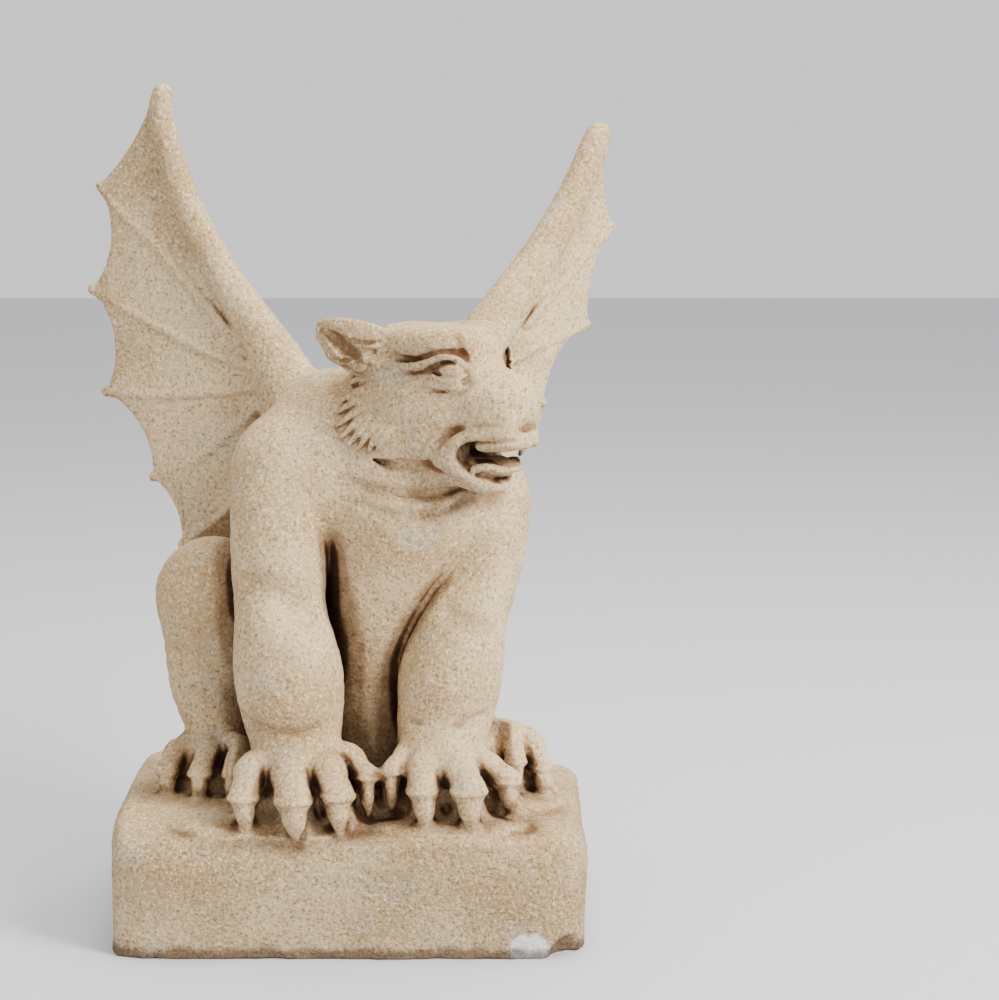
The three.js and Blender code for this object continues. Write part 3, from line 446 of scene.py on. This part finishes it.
# ---------------------------------------------------------------- wings
# A wing stands in an upright plane through its foot, swept back about it; places in it are out, up.
# arm: the leading bone with its radius; tips: finger ends with a hollow of the given sag after each.
LEFT_WING = dict(
    foot=(-60, 60), outward=-1, sweep=12, bow=16,
    arm=[(-8, 455, 36), (8, 492, 33), (20, 525, 27), (40, 560, 21), (81, 620, 16.5), (118, 692, 14),
         (136, 748, 12.5), (140, 774, 11), (138, 790, 9.5)],
    tips=[(148, 788), (209, 700), (220, 596), (208, 494), (157, 410), (127, 343)],
    sags=[7, 17, 18, 16, 10],
    fingers=[[(62, 550), (98, 588), (146, 640), (188, 677), (208, 699)],
             [(46, 525), (100, 541), (155, 565), (220, 596)],
             [(34, 507), (100, 497), (160, 493), (208, 494)],
             [(30, 494), (64, 466), (105, 432), (157, 410)],
             [(22, 470), (62, 400), (90, 368), (127, 343)]],
    inner=[(10, 350), (0, 430)])
RIGHT_WING = dict(
    foot=(70, 75), outward=1, sweep=40, bow=12,
    arm=[(-12, 455, 34), (10, 490, 33), (46, 530, 28), (97, 582, 23), (147, 633, 19), (194, 690, 16.5),
         (219, 730, 15), (228, 747, 13)],
    tips=[(238, 750), (252, 651), (213, 552), (146, 476), (105, 400), (76, 338)],
    sags=[9, 14, 16, 12, 9],
    fingers=[[(120, 560), (160, 590), (212, 626), (252, 651)],
             [(82, 520), (120, 530), (168, 542), (213, 552)],
             [(72, 512), (100, 497), (146, 476)],
             [(60, 500), (80, 460), (105, 400)],
             [(40, 480), (50, 400), (76, 338)]],
    inner=[(-10, 345), (-20, 430)])


class WingPlane:
    """Turns places (out, up, behind) in a swept and bowed wing into the figure's, and back."""

    def __init__(self, foot, outward, sweep, bow):
        c, s = math.cos(math.radians(sweep)), math.sin(math.radians(sweep))
        self.foot, self.bow = np.array(foot, float), bow
        self.out, self.back = np.array([outward * c, s]), np.array([-outward * s, c])

    def place(self, s, z, behind=0.0):
        off = behind + self.bow * (max(s, 0) / 200) ** 2
        x, y = self.foot + self.out * s + self.back * off
        return [x, y, z]

    def inverse(self, p):
        x, y = p[0] - np.float32(self.foot[0]), p[1] - np.float32(self.foot[1])
        s = x * np.float32(self.out[0]) + y * np.float32(self.out[1])
        behind = x * np.float32(self.back[0]) + y * np.float32(self.back[1])
        return s, behind - self.bow * (np.maximum(s, 0) / 200) ** 2


class Web(Shape):
    """Thin sheet with a given outline, hollowed between the finger ends."""

    def __init__(self, plane, outline, hollows):
        corners = np.array(outline, float)
        low, high = corners.min(0), corners.max(0)
        middle = (low + high) / 2
        super().__init__(plane.place(*middle), np.linalg.norm(high - low) / 2 + plane.bow)
        self.plane, self.hollows = plane, hollows
        self.spans = list(zip(corners, np.roll(corners, -1, axis=0)))

    def distance(self, p):
        s, behind = self.plane.inverse(p)
        z = p[2]
        best = np.full(len(s), 1e9, np.float32)
        inside = np.zeros(len(s), bool)
        for a, b in self.spans:
            ax, az = (b - a).astype(np.float32)
            ps, pz = s - np.float32(a[0]), z - np.float32(a[1])
            t = np.clip((ps * ax + pz * az) / (ax * ax + az * az), 0, 1)
            best = np.minimum(best, (ps - t * ax) ** 2 + (pz - t * az) ** 2)
            above = z >= a[1]
            inside ^= (above != (z >= b[1])) & (above == (ax * pz > az * ps))
        flat = np.sqrt(best) * np.where(inside, -1, 1)
        for cs, cz, radius in self.hollows:
            flat = np.maximum(flat, radius - np.hypot(s - cs, z - cz))
        across = flat + WING_EDGE_ROUND
        through = np.abs(behind) - WING_HALF_THICKNESS + WING_EDGE_ROUND
        outer = np.hypot(np.maximum(across, 0), np.maximum(through, 0))
        return np.minimum(np.maximum(across, through), 0) + outer - WING_EDGE_ROUND


def hollow(p, q, sag):
    """Circle through two finger ends that hollows the edge between them, as out, up, radius."""
    chord = math.dist(p, q)
    radius = (chord * chord / 4 + sag * sag) / (2 * sag)
    shift = (radius - sag) / chord
    return ((p[0] + q[0]) / 2 + (p[1] - q[1]) * shift, (p[1] + q[1]) / 2 + (q[0] - p[0]) * shift, radius)


def wing(foot, outward, sweep, bow, arm, tips, sags, fingers, inner):
    plane = WingPlane(foot, outward, sweep, bow)
    outline = tips + inner + [(s, z) for s, z, r in arm[1:-1]]
    hollows = [hollow(p, q, sag) for p, q, sag in zip(tips, tips[1:], sags)]
    form = Form().join(Web(plane, outline, hollows))
    for finger in fingers:
        slim = 3 / (len(finger) - 1)
        form.join(tube([plane.place(s, z, -1.5) + [8.2 - slim * i] for i, (s, z) in enumerate(finger)], 4), 2)
    form.join(tube([plane.place(s, z, -3) + [r] for s, z, r in arm]), 4)
    return form.close()


# ---------------------------------------------------------------- head
# Places in the head are fore, side, up from the middle of the skull; side > 0 is the creature's right.
FORE = np.array([math.sin(HEAD_YAW), -math.cos(HEAD_YAW), 0])
SIDE = np.array([-math.cos(HEAD_YAW), -math.sin(HEAD_YAW), 0])
UP = np.array([0.0, 0.0, 1.0])
HEAD_AXES = [FORE, SIDE, UP]
BOTH = (1, -1)


def in_head(f, s, u):
    return (HEAD_CENTRE + FORE * f + SIDE * s + UP * u).tolist()


def head_egg(f, s, u, radii):
    return Egg(in_head(f, s, u), radii, HEAD_AXES)


def head_box(f, s, u, half, edge):
    return Box(in_head(f, s, u), half, edge, HEAD_AXES)


def head_tube(rows, steps=5, press=None):
    return tube([in_head(f, s, u) + [r] for f, s, u, r in rows], steps, press)


def skull():
    form = Form()
    form.join(head_egg(-6, 0, 0, (66, 50, 56)))
    form.join(head_box(19, 0, 29, (56, 43, 29), 22), 12)
    for side in BOTH:
        # cheek, heavy brow and jaw bone
        form.join(head_egg(14, side * 26, -18, (52, 25, 44)), 16)
        form.join(head_tube([(-14, side * 35, 42, 12), (14, side * 38, 44, 15), (44, side * 38, 46, 15.5),
                             (65, side * 31, 47, 13)], 8), 5)
        form.join(head_tube([(-6, side * 26, -46, 22), (40, side * 25, -54, 17)]), 10)
    return form.close()


def muzzle():
    form = Form()
    form.join(head_egg(74, 0, -8, (46, 39, 31)))
    form.join(head_box(88, 0, -13, (32, 33, 26), 22), 8)
    form.join(head_tube([(52, 0, 12, 24), (84, 0, -2, 22), (100, 0, -6, 20)], 8), 10)
    for side in BOTH:
        form.join(head_egg(88, side * 22, -24, (26, 15, 15)), 8)
    # lower jaw
    form.join(head_tube([(18, 0, -50, 32), (44, 0, -66, 24), (66, 0, -80, 14), (78, 0, -84, 11)], 8), 10)
    for side in BOTH:
        form.join(head_tube([(34, side * 26, -52, 16), (56, side * 27, -66, 12),
                             (78, side * 16, -82, 10)], 8), 8)
    # open mouth
    form.cut(head_tube([(62, 0, -58, 12), (90, 0, -62, 20), (122, 0, -63, 23)]), 2)
    for side in BOTH:
        form.cut(head_tube([(61, side * 30, -57, 8), (76, side * 30, -57, 15), (96, side * 28, -61, 20),
                            (124, side * 26, -63, 23)]), 2)
    return form.close()


def lips(side):
    return head_tube([
        (120, 0, -37, 3.5), (116, side * 15, -37, 4), (104, side * 27, -36, 4), (87, side * 33, -36, 4.5),
        (70, side * 37, -39, 5.5), (60, side * 38, -47, 6), (56, side * 37, -57, 6),
        (62, side * 34, -68, 5.5), (74, side * 27, -78, 4.5), (85, side * 13, -85, 4.5), (88, 0, -86, 4.5),
    ], 5, (SIDE, 1.2))


def eye(side):
    form = Form()
    form.join(head_egg(62, side * 41, 23.5, (13.5, 8.5, 8)))
    # upper lid running out into a long fold, and lower lid
    form.join(head_tube([(-8, side * 45, 28, 2.5), (14, side * 48, 24.5, 4.4), (32, side * 49, 26, 4.6),
                         (46, side * 49.5, 32, 3.6), (58, side * 48.5, 35.5, 3.2),
                         (69, side * 44, 34, 3), (75, side * 37, 26, 2.6)], 8), 2)
    form.join(head_tube([(44, side * 46, 19, 1.8), (54, side * 47.5, 15.5, 2.4), (66, side * 44, 14.5, 2.4),
                         (75, side * 37, 19, 2)]), 2)
    return form.close()


# folds of the ear as fore, up, depth: hollow, slits under the rolled rim, grooves round the lower end
EAR_FOLDS = [
    [(-72, 54, 3), (-62, 51, 5), (-52, 46, 7), (-43, 39, 8), (-32, 33, 6.5)],
    [(-47, 50, 2), (-34, 46, 3), (-22, 45, 3), (-12, 46, 2)],
    [(-35, 39, 3), (-22, 36.5, 4), (-12, 37.5, 2.5)],
    [(-58, 27, 2), (-46, 26, 3), (-38, 30, 3)],
    [(-51, 21, 2.2), (-40, 20, 3.4), (-30, 23, 3.6), (-26, 28, 3)],
    [(-37, 15, 2.4), (-26, 14.5, 3.4), (-19, 19, 3.4), (-18, 25, 2.4)]]


def ear(side):
    drop = 0 if side > 0 else FAR_EAR_DROP

    def strand(rows):
        return head_tube([(f, side * s, u - drop, r) for f, s, u, r in rows], 6, (SIDE, 1.5))

    # shell, rolled upper rim and full lower lobe
    form = Form()
    form.join(strand([(-14, 40, 34, 18), (-30, 45, 36, 22), (-52, 49, 41, 20), (-69, 52, 50, 13)]))
    form.join(strand([(-74, 55, 57, 6), (-56, 56, 58, 8), (-36, 52, 56, 9), (-18, 46, 51, 9),
                      (-6, 40, 43, 7)]), 3)
    form.join(head_egg(-57, side * 54, 38 - drop, (13, 9, 13)), 5)
    form.join(head_egg(-33, side * 47, 27 - drop, (22, 14, 14)), 6)
    form.close()
    skin = side_skin(form, side)
    folds = [tube([skin(f, u - drop, 0.4) + [r] for f, u, r in row]) for row in EAR_FOLDS]
    for fold in folds:
        form.cut(fold, 1.5)
    return form.close()


def side_skin(form, side):
    """Finds the skin of one side of the head at (fore, up), raised by lift."""
    inward = -side * SIDE
    return lambda f, u, lift: meet(form, in_head(f, side * 110, u), inward, lift)


# pointed locks of hair behind the cheek, each from fore, up to fore, up
LOCKS = [(-30, 14, -52, 2), (-26, 3, -58, -13), (-27, -6, -59, -23), (-23, -13, -57, -35), (-20, -20, -51, -45),
         (-14, -23, -42, -51), (-9, -26, -32, -54), (-1, -28, -22, -57), (6, -29, -12, -55)]
BROW_GROOVE = [(-2, 38, 1.5), (14, 31.5, 2.8), (30, 30.5, 3), (46, 37, 2.6), (61, 40, 2.4), (72, 37, 2.4)]
FROWN = [(66, 57, 1.5), (72, 47, 3), (72, 37, 4), (75, 28, 3)]
LID_LINE = [(2, 20.5, 0.8), (15, 18.5, 1.3), (30, 20.5, 1.6), (42, 25, 1.2)]
EYE_BAG = [(30, 14, 0.7), (36, 7, 1.1), (52, 3.5, 1.3), (65, 7, 1.1), (73, 13, 0.8)]
CHEEK_CREASES = [[(58, -31, 1.4), (50, -42, 2.8), (43, -53, 3.4), (38, -62, 3)],
                 [(49, -29, 1), (41, -39, 1.8), (34, -49, 2), (28, -58, 1.6)]]
NOSTRIL = [(105, 9.5, 2.8), (109, 8.7, 2), (114, 8.3, 1)]
LIP_CREASE = [(84, -27, 1.4), (98, -26, 2), (108, -27, 1.4)]
TONGUE = [(78, 0, -69, 24, 24, 9), (68, 14, -65, 9, 9, 6), (82, 9, -67, 9, 8, 7), (92, -2, -70, 8, 9, 6),
          (80, -11, -66, 9, 9, 6)]


def locks(skin):
    form = Form()
    for f0, u0, f1, u1 in LOCKS:
        form.join(tube([skin(f0, u0, -4) + [4.5], skin((f0 + f1) / 2 - 1, (u0 + u1) / 2 + 1, 0.5) + [5],
                        skin(f1, u1, 2) + [1.8]]), 0.8)
    return form.close()


def head_on(body):
    body.join(skull(), 14)
    body.join(muzzle(), 12)
    smooth = Form(body.steps).close()
    for side in BOTH:
        skin = side_skin(smooth, side)

        def crease(rows, blend):
            body.cut(tube([skin(f, u, 1) + [r] for f, u, r in rows]), blend)

        crease(BROW_GROOVE, 3)
        # eye socket
        body.cut(head_egg(63, side * 51, 24, (13, 8, 9)), 5)
        crease(FROWN, 3)
        body.join(eye(side), 2)
        body.join(head_egg(52, side * 39, 9, (20, 7.5, 7)), 6)
        crease(LID_LINE, 1)
        crease(EYE_BAG, 1.5)
        body.join(lips(side), 7)
        for rows in CHEEK_CREASES:
            crease(rows, 3)
        crease(LIP_CREASE, 3)
        crease(NOSTRIL, 0.8)
        # deep crevice under the jaw
        body.cut(head_tube([(-20, side * 48, -64, 1.5), (2, side * 46, -69, 3), (22, side * 40, -69, 5),
                            (38, side * 34, -68, 6), (50, side * 27, -77, 3)]), 6)
        # upper teeth as one worn slab, and the lower row
        body.join(head_tube([(84, side * 24, -45, 7), (99, side * 22, -45, 6.5), (113, side * 14, -44, 6),
                             (121, side * 5, -43, 5)]), 1.5)
        body.cut(head_tube([(82, side * 32, -48, 1.6), (99, side * 29.5, -48, 1.6),
                            (115, side * 20, -47, 1.6)]), 0.6)
        body.join(head_tube([(78, side * 28, -68, 4), (90, side * 22, -66, 4.5),
                             (100, side * 10, -69, 4.5)]), 2)
        body.join(ear(side), 4)
        body.join(locks(skin), 2)
    # fang of the far side, and the lumpy tongue
    body.join(head_tube([(105, -18, -44, 5), (98, -18, -58, 2)]), 1.5)
    for f, side, u, *radii in TONGUE:
        body.join(head_egg(f, side, u, radii), 3)
    return body.close()


def figure():
    form = Form()
    form.join(plinth())
    form.join(head_on(trunk()), 10)
    form.join(hindleg(**LEFT_HIND), 10)
    form.join(hindleg(**RIGHT_HIND), 10)
    form.join(foot(LEFT_SOLE, LEFT_FOOT_TOES), 8)
    form.join(foot(RIGHT_SOLE, RIGHT_FOOT_TOES), 8)
    form.join(foreleg(**LEFT_ARM), 7)
    form.join(foreleg(**RIGHT_ARM), 7)
    form.join(paw(LEFT_PALM, LEFT_TOES), 9)
    form.join(paw(RIGHT_PALM, RIGHT_TOES), 9)
    form.join(wing(**LEFT_WING), 18)
    form.join(wing(**RIGHT_WING), 18)
    return form.close()


# ---------------------------------------------------------------- surface of a form
def sample(form, lowest, highest, cell):
    """Distances on a grid: exact near the surface, far blocks only inside or outside."""
    count = np.ceil((highest - lowest) / cell).astype(int) + 1
    values = np.full(count, FAR, np.float32)

    def fill(local, start, size):
        middle = lowest + (np.array(start) + (size - 1) / 2) * cell
        radius = size * cell * math.sqrt(3) / 2
        local = local.near(middle, radius)
        stop = np.minimum(np.array(start) + size, count)
        if local is None or (stop <= start).any():
            return
        level = float(local.distance(column(middle))[0])
        if abs(level) > radius * 1.9:
            values[tuple(slice(a, b) for a, b in zip(start, stop))] = math.copysign(FAR, level)
        elif size == LEAF:
            ticks = [lowest[i] + np.arange(start[i], stop[i]) * cell for i in range(3)]
            grid = np.stack(np.meshgrid(*ticks, indexing="ij")).astype(np.float32)
            d = local.distance(grid.reshape(3, -1))
            values[tuple(slice(a, b) for a, b in zip(start, stop))] = d.reshape(grid.shape[1:])
        else:
            half = size // 2
            for n in range(8):
                fill(local, [start[i] + (n >> i & 1) * half for i in range(3)], half)

    whole = LEAF * 8
    for i in range(0, count[0], whole):
        for j in range(0, count[1], whole):
            for k in range(0, count[2], whole):
                fill(form, [i, j, k], whole)
    return values


def surface(values, lowest, cell):
    """Surface net: one place in every cell that the surface crosses, one quad for every crossed grid edge."""
    inside = values < 0
    cells = tuple(n - 1 for n in values.shape)
    corners = [(n & 1, n >> 1 & 1, n >> 2 & 1) for n in range(8)]
    views = [inside[a:a + cells[0], b:b + cells[1], c:c + cells[2]] for a, b, c in corners]
    some, every = views[0].copy(), views[0].copy()
    for view in views[1:]:
        some |= view
        every &= view
    at = np.argwhere(some & ~every)
    flat = np.ravel_multi_index(at.T, cells)
    held = np.stack([values[tuple((at + c).T)] for c in corners], 1)
    total, number = np.zeros((len(at), 3)), np.zeros((len(at), 1))
    for n, c in enumerate(corners):
        for axis in range(3):
            if c[axis]:
                continue
            p, q = held[:, n], held[:, n + (1 << axis)]
            crossed = (p < 0) != (q < 0)
            place = np.tile(np.array(c, float), (len(at), 1))
            place[:, axis] += np.where(crossed, p / np.where(crossed, p - q, 1), 0)
            total += place * crossed[:, None]
            number += crossed[:, None]
    places = (at + total / number) * cell + lowest
    quads = []
    for axis in range(3):
        u, v = np.eye(3, dtype=int)[(axis + 1) % 3], np.eye(3, dtype=int)[(axis + 2) % 3]
        start = [slice(None)] * 3
        stop = [slice(None)] * 3
        start[axis], stop[axis] = slice(0, -1), slice(1, None)
        edge = np.argwhere(inside[tuple(start)] != inside[tuple(stop)])
        ring = np.stack([np.searchsorted(flat, np.ravel_multi_index((edge - shift).T, cells))
                         for shift in (u + v, v, 0 * u, u)], 1)
        outward = inside[tuple(edge.T)]
        quads.append(np.where(outward[:, None], ring, ring[:, ::-1]))
    return places, np.vstack(quads)


def by_blocks(form, points, reach, work):
    """Calls work(local form, indices) for the points in each block of space, with the shapes within reach."""
    size = 40.0
    keys = np.floor(points / size).astype(int)
    order = np.lexsort(keys.T)
    keys = keys[order]
    breaks = np.flatnonzero((np.diff(keys, axis=0) != 0).any(1)) + 1
    for group in np.split(order, breaks):
        middle = (np.floor(points[group[0]] / size) + 0.5) * size
        work(form.near(middle, size * math.sqrt(3) / 2 + reach), group)


def cavities(form, points, normals, heights):
    """For each height, how closed in each point is: 0 on open ground, towards 1 deep in a crevice."""
    closed = np.zeros((len(heights), len(points)), np.float32)

    def work(local, group):
        for row, height in zip(closed, heights):
            above = (points[group] + normals[group] * height).T.astype(np.float32)
            row[group] = np.clip(1 - local.distance(above) / height, 0, 1)

    by_blocks(form, points, max(heights), work)
    return closed


# ---------------------------------------------------------------- the carved piece
def mesh_object(name, places, faces):
    mesh = bpy.data.meshes.new(name)
    mesh.from_pydata(places.tolist(), [], faces.tolist())
    mesh.update()
    piece = bpy.data.objects.new(name, mesh)
    bpy.context.scene.collection.objects.link(piece)
    return piece


def fewer_triangles(piece, wanted):
    """Collapses edges until the wanted number of triangles is left, and keeps the result as the mesh."""
    triangles = sum(len(face.vertices) - 2 for face in piece.data.polygons)
    collapse = piece.modifiers.new("fewer", "DECIMATE")
    collapse.ratio = min(1.0, wanted / triangles)
    collapse.use_collapse_triangulate = True
    bpy.context.view_layer.update()
    lighter = bpy.data.meshes.new_from_object(piece.evaluated_get(bpy.context.evaluated_depsgraph_get()))
    piece.modifiers.clear()
    piece.data = lighter
    piece.data.name = piece.name


def numbers(collection, field, width):
    values = np.empty(len(collection) * width, np.float32)
    collection.foreach_get(field, values)
    return values.reshape(-1, width)


CAVITY_HEIGHTS = {"fine_hollow": 4.0, "hollow": 11.0, "shelter": 34.0}
# unevenness of the sandy surface as depth, size; it is twice as deep on the plinth
SAND_WAVES = [(0.35, 2.6), (0.4, 6.5)]
COARSE_BELOW_TOP = 20


def carved_figure():
    form = figure()
    places, quads = surface(sample(form, LOWEST, HIGHEST, CELL), LOWEST, CELL)
    piece = mesh_object("gargoyle_carved", places * METRES, quads)
    fewer_triangles(piece, TRIANGLES)
    piece.data.shade_smooth()
    points = numbers(piece.data.vertices, "co", 3) / METRES
    normals = numbers(piece.data.vertices, "normal", 3)
    coarse = 1 + np.clip((PLINTH_TOP - points[:, 2]) / COARSE_BELOW_TOP, 0, 1)
    rough = sum(depth * waves(points.T, size) for depth, size in SAND_WAVES) * coarse
    worn = (points + normals * rough[:, None]) * METRES
    piece.data.vertices.foreach_set("co", worn.astype(np.float32).ravel())
    piece.data.update()
    for name, values in zip(CAVITY_HEIGHTS, cavities(form, points, normals, list(CAVITY_HEIGHTS.values()))):
        piece.data.attributes.new(name, "FLOAT", "POINT").data.foreach_set("value", values)
    return piece


# ---------------------------------------------------------------- materials
class Nodes:
    """Short calls for building a node tree."""

    def __init__(self, name):
        self.material = bpy.data.materials.new(name)
        self.material.use_nodes = True
        self.tree = self.material.node_tree
        self.shader = self.tree.nodes["Principled BSDF"]

    def new(self, kind, **settings):
        node = self.tree.nodes.new(kind)
        for key, value in settings.items():
            setattr(node, key, value)
        return node

    def feed(self, socket, value):
        if isinstance(value, bpy.types.NodeSocket):
            self.tree.links.new(value, socket)
        else:
            socket.default_value = value

    def math(self, operation, *values, clamp=False):
        node = self.new("ShaderNodeMath", operation=operation, use_clamp=clamp)
        for socket, value in zip(node.inputs, values):
            self.feed(socket, value)
        return node.outputs[0]

    def noise(self, place, size, detail=3.0, roughness=0.55):
        """Cloudy pattern of about 0 to 1, with features of the given size in metres."""
        node = self.new("ShaderNodeTexNoise")
        self.feed(node.inputs["Vector"], place)
        self.feed(node.inputs["Scale"], 1 / size)
        self.feed(node.inputs["Detail"], detail)
        self.feed(node.inputs["Roughness"], roughness)
        return node.outputs["Fac"]

    def cells(self, place, size):
        """Distance to the nearest of scattered points, about 0 to 1."""
        node = self.new("ShaderNodeTexVoronoi")
        self.feed(node.inputs["Vector"], place)
        self.feed(node.inputs["Scale"], 1 / size)
        return node.outputs["Distance"]

    def steps(self, value, low, high, low_out=0.0, high_out=1.0):
        """Maps a range to another, held at its ends."""
        node = self.new("ShaderNodeMapRange", interpolation_type="SMOOTHSTEP")
        for key, number in zip(("Value", "From Min", "From Max", "To Min", "To Max"),
                               (value, low, high, low_out, high_out)):
            self.feed(node.inputs[key], number)
        return node.outputs[0]

    def blend(self, factor, a, b, kind="MIX"):
        node = self.new("ShaderNodeMix", data_type="RGBA", blend_type=kind)
        self.feed(node.inputs["Factor"], factor)
        self.feed(node.inputs[6], a)
        self.feed(node.inputs[7], b)
        return node.outputs[2]

    def attribute(self, name):
        return self.new("ShaderNodeAttribute", attribute_name=name).outputs["Fac"]

    def bump(self, height, distance, strength, under=None):
        node = self.new("ShaderNodeBump")
        self.feed(node.inputs["Height"], height)
        self.feed(node.inputs["Distance"], distance)
        self.feed(node.inputs["Strength"], strength)
        if under is not None:
            self.feed(node.inputs["Normal"], under)
        return node.outputs["Normal"]


def tone(red, green, blue):
    """A colour given as the 0 to 255 values that a screen shows."""
    linear = [v / 12.92 if v <= 0.04045 else ((v + 0.055) / 1.055) ** 2.4 for v in
              (red / 255, green / 255, blue / 255)]
    return (*linear, 1.0)


def stone_material():
    n = Nodes("weathered_sandstone")
    geometry = n.new("ShaderNodeNewGeometry")
    place = n.new("ShaderNodeTexCoord").outputs["Object"]
    split = n.new("ShaderNodeSeparateXYZ")
    n.feed(split.inputs[0], place)
    z = split.outputs[2]
    normal = n.new("ShaderNodeSeparateXYZ")
    n.feed(normal.inputs[0], geometry.outputs["Normal"])
    fine, hollow_, shelter = (n.attribute(name) for name in CAVITY_HEIGHTS)

    # sandy body colour, uneven over a hand's breadth and over a few millimetres
    patches = n.steps(n.noise(place, 0.11, 4), 0.35, 0.68)
    colour = n.blend(patches, tone(206, 181, 140), tone(176, 148, 106))
    grey = n.steps(n.noise(place, 0.07, 5, 0.65), 0.54, 0.7, 0, 0.6)
    colour = n.blend(grey, colour, tone(184, 176, 156))
    speck = n.noise(place, 0.0034, 2, 0.75)
    colour = n.blend(n.steps(speck, 0.52, 0.7, 0, 0.75), colour, tone(236, 217, 180))
    colour = n.blend(n.steps(speck, 0.48, 0.30, 0, 0.85), colour, tone(136, 104, 64))

    # brown patina together with painted shade, gathered in the hollows and in sheltered places; faces turned
    # down get painted shade
    ragged = n.noise(place, 0.016, 5, 0.7)
    wide = n.math("MULTIPLY", n.steps(shelter, 0.30, 0.80), 0.62)
    mid = n.math("MULTIPLY", n.steps(hollow_, 0.22, 0.68), 0.88)
    small = n.math("MULTIPLY", n.steps(fine, 0.16, 0.58), 0.85)
    # painted shade: faces turned down are darkened
    under = n.steps(normal.outputs[2], -0.1, -0.8, 0, 0.35)
    depth = n.math("MAXIMUM", n.math("MAXIMUM", wide, mid), n.math("MAXIMUM", small, under))
    # brown patina and painted shade in one wash, by how closed in and how turned down a place is
    patina_and_painted_shade = n.math("MULTIPLY", depth, n.steps(ragged, 0.25, 0.62, 0.6, 1.15), clamp=True)
    colour = n.blend(patina_and_painted_shade, colour, tone(104, 70, 40))
    # painted shade: near-black in the deepest, most sheltered hollows
    painted_deep_shade = n.steps(n.math("MULTIPLY", hollow_, shelter), 0.35, 0.85, 0, 0.9)
    colour = n.blend(painted_deep_shade, colour, tone(48, 30, 18))

    # the chipped lower corner: pale fresh break beside a grey hollow; darker in a ragged band along the bottom
    # edge
    def spot(x, y, z, size):
        away = n.new("ShaderNodeVectorMath", operation="DISTANCE")
        n.feed(away.inputs[0], place)
        away.inputs[1].default_value = (x, y, z)
        uneven = n.math("MULTIPLY_ADD", n.noise(place, 0.014, 4, 0.7), size, away.outputs["Value"])
        return n.steps(uneven, size * 1.45, size * 1.25)

    colour = n.blend(spot(0.164, -0.168, 0.008, 0.020), colour, tone(236, 236, 232))
    colour = n.blend(spot(0.198, -0.160, 0.006, 0.016), colour, tone(128, 110, 86))
    # darker in a ragged band a few millimetres high at the bottom
    dark_bottom_band = n.math("MULTIPLY_ADD", ragged, -0.022, z)
    colour = n.blend(n.steps(dark_bottom_band, 0.004, -0.006, 0, 0.75), colour, tone(78, 60, 44))
    n.feed(n.shader.inputs["Base Color"], colour)
    n.shader.inputs["Roughness"].default_value = 0.92
    n.shader.inputs["Specular IOR Level"].default_value = 0.2

    # sand grain, coarser and streaked along the plinth, with small pits
    coarse = n.steps(z, 0.13, 0.09, 0.7, 1.0)
    streaked = n.new("ShaderNodeVectorMath", operation="MULTIPLY")
    n.feed(streaked.inputs[0], place)
    streaked.inputs[1].default_value = (1.0, 1.0, 2.2)
    streaks = n.noise(streaked.outputs["Vector"], 0.009, 4, 0.7)
    low_down = n.steps(z, 0.125, 0.10, 0.15, 1.0)
    swell = n.bump(n.noise(place, 0.02, 3), 0.0016, 0.5)
    streaky = n.bump(streaks, 0.005, low_down, swell)
    grain = n.bump(speck, 0.0022, coarse, streaky)
    pits = n.bump(n.steps(n.cells(place, 0.006), 0.0, 0.3), 0.0010, 0.4, grain)
    n.feed(n.shader.inputs["Normal"], pits)
    return n.material


def plain_material(name, colour, roughness):
    n = Nodes(name)
    n.shader.inputs["Base Color"].default_value = colour
    n.shader.inputs["Roughness"].default_value = roughness
    return n.material


# ---------------------------------------------------------------- floor, light and camera
FLOOR_SIZE = 14.0


def floor():
    half = FLOOR_SIZE / 2
    corners = np.array([(-half, -half, 0), (half, -half, 0), (half, half, 0), (-half, half, 0)])
    plane = mesh_object("floor", corners, np.array([(0, 1, 2, 3)]))
    plane.data.materials.append(plain_material("pale_floor", tone(205, 205, 210), 0.8))


def area_light(name, place, target, size, power, colour=(1.0, 1.0, 1.0)):
    light = bpy.data.lights.new(name, "AREA")
    light.size, light.energy, light.color = size, power, colour
    lamp = bpy.data.objects.new(name, light)
    lamp.location = place
    lamp.rotation_euler = (Vector(target) - Vector(place)).to_track_quat("-Z", "Y").to_euler()
    bpy.context.scene.collection.objects.link(lamp)


def lights():
    middle = (0, 0, 0.4)
    area_light("key", (2.3, -1.5, 2.2), middle, 1.1, 185, (1.0, 0.98, 0.95))
    area_light("fill", (-2.6, -2.2, 1.5), middle, 2.2, 12)
    area_light("top", (0.2, 0.4, 2.8), middle, 1.6, 70)
    world = bpy.data.worlds.new("studio")
    world.use_nodes = True
    background = world.node_tree.nodes["Background"]
    background.inputs["Color"].default_value = (1, 1, 1, 1)
    background.inputs["Strength"].default_value = 1.0
    bpy.context.scene.world = world


def camera():
    data = bpy.data.cameras.new("camera")
    data.lens, data.sensor_width = 90.0, 36.0
    eye_point = bpy.data.objects.new("camera", data)
    eye_point.location = (0.135, -2.377, 0.801)
    eye_point.rotation_euler = (math.radians(80.5), 0, 0)
    bpy.context.scene.collection.objects.link(eye_point)
    bpy.context.scene.camera = eye_point


stone = stone_material()
carving = carved_figure()
carving.data.materials.append(stone)
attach(carving, "root")
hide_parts("gargoyle")
floor()
lights()
camera()
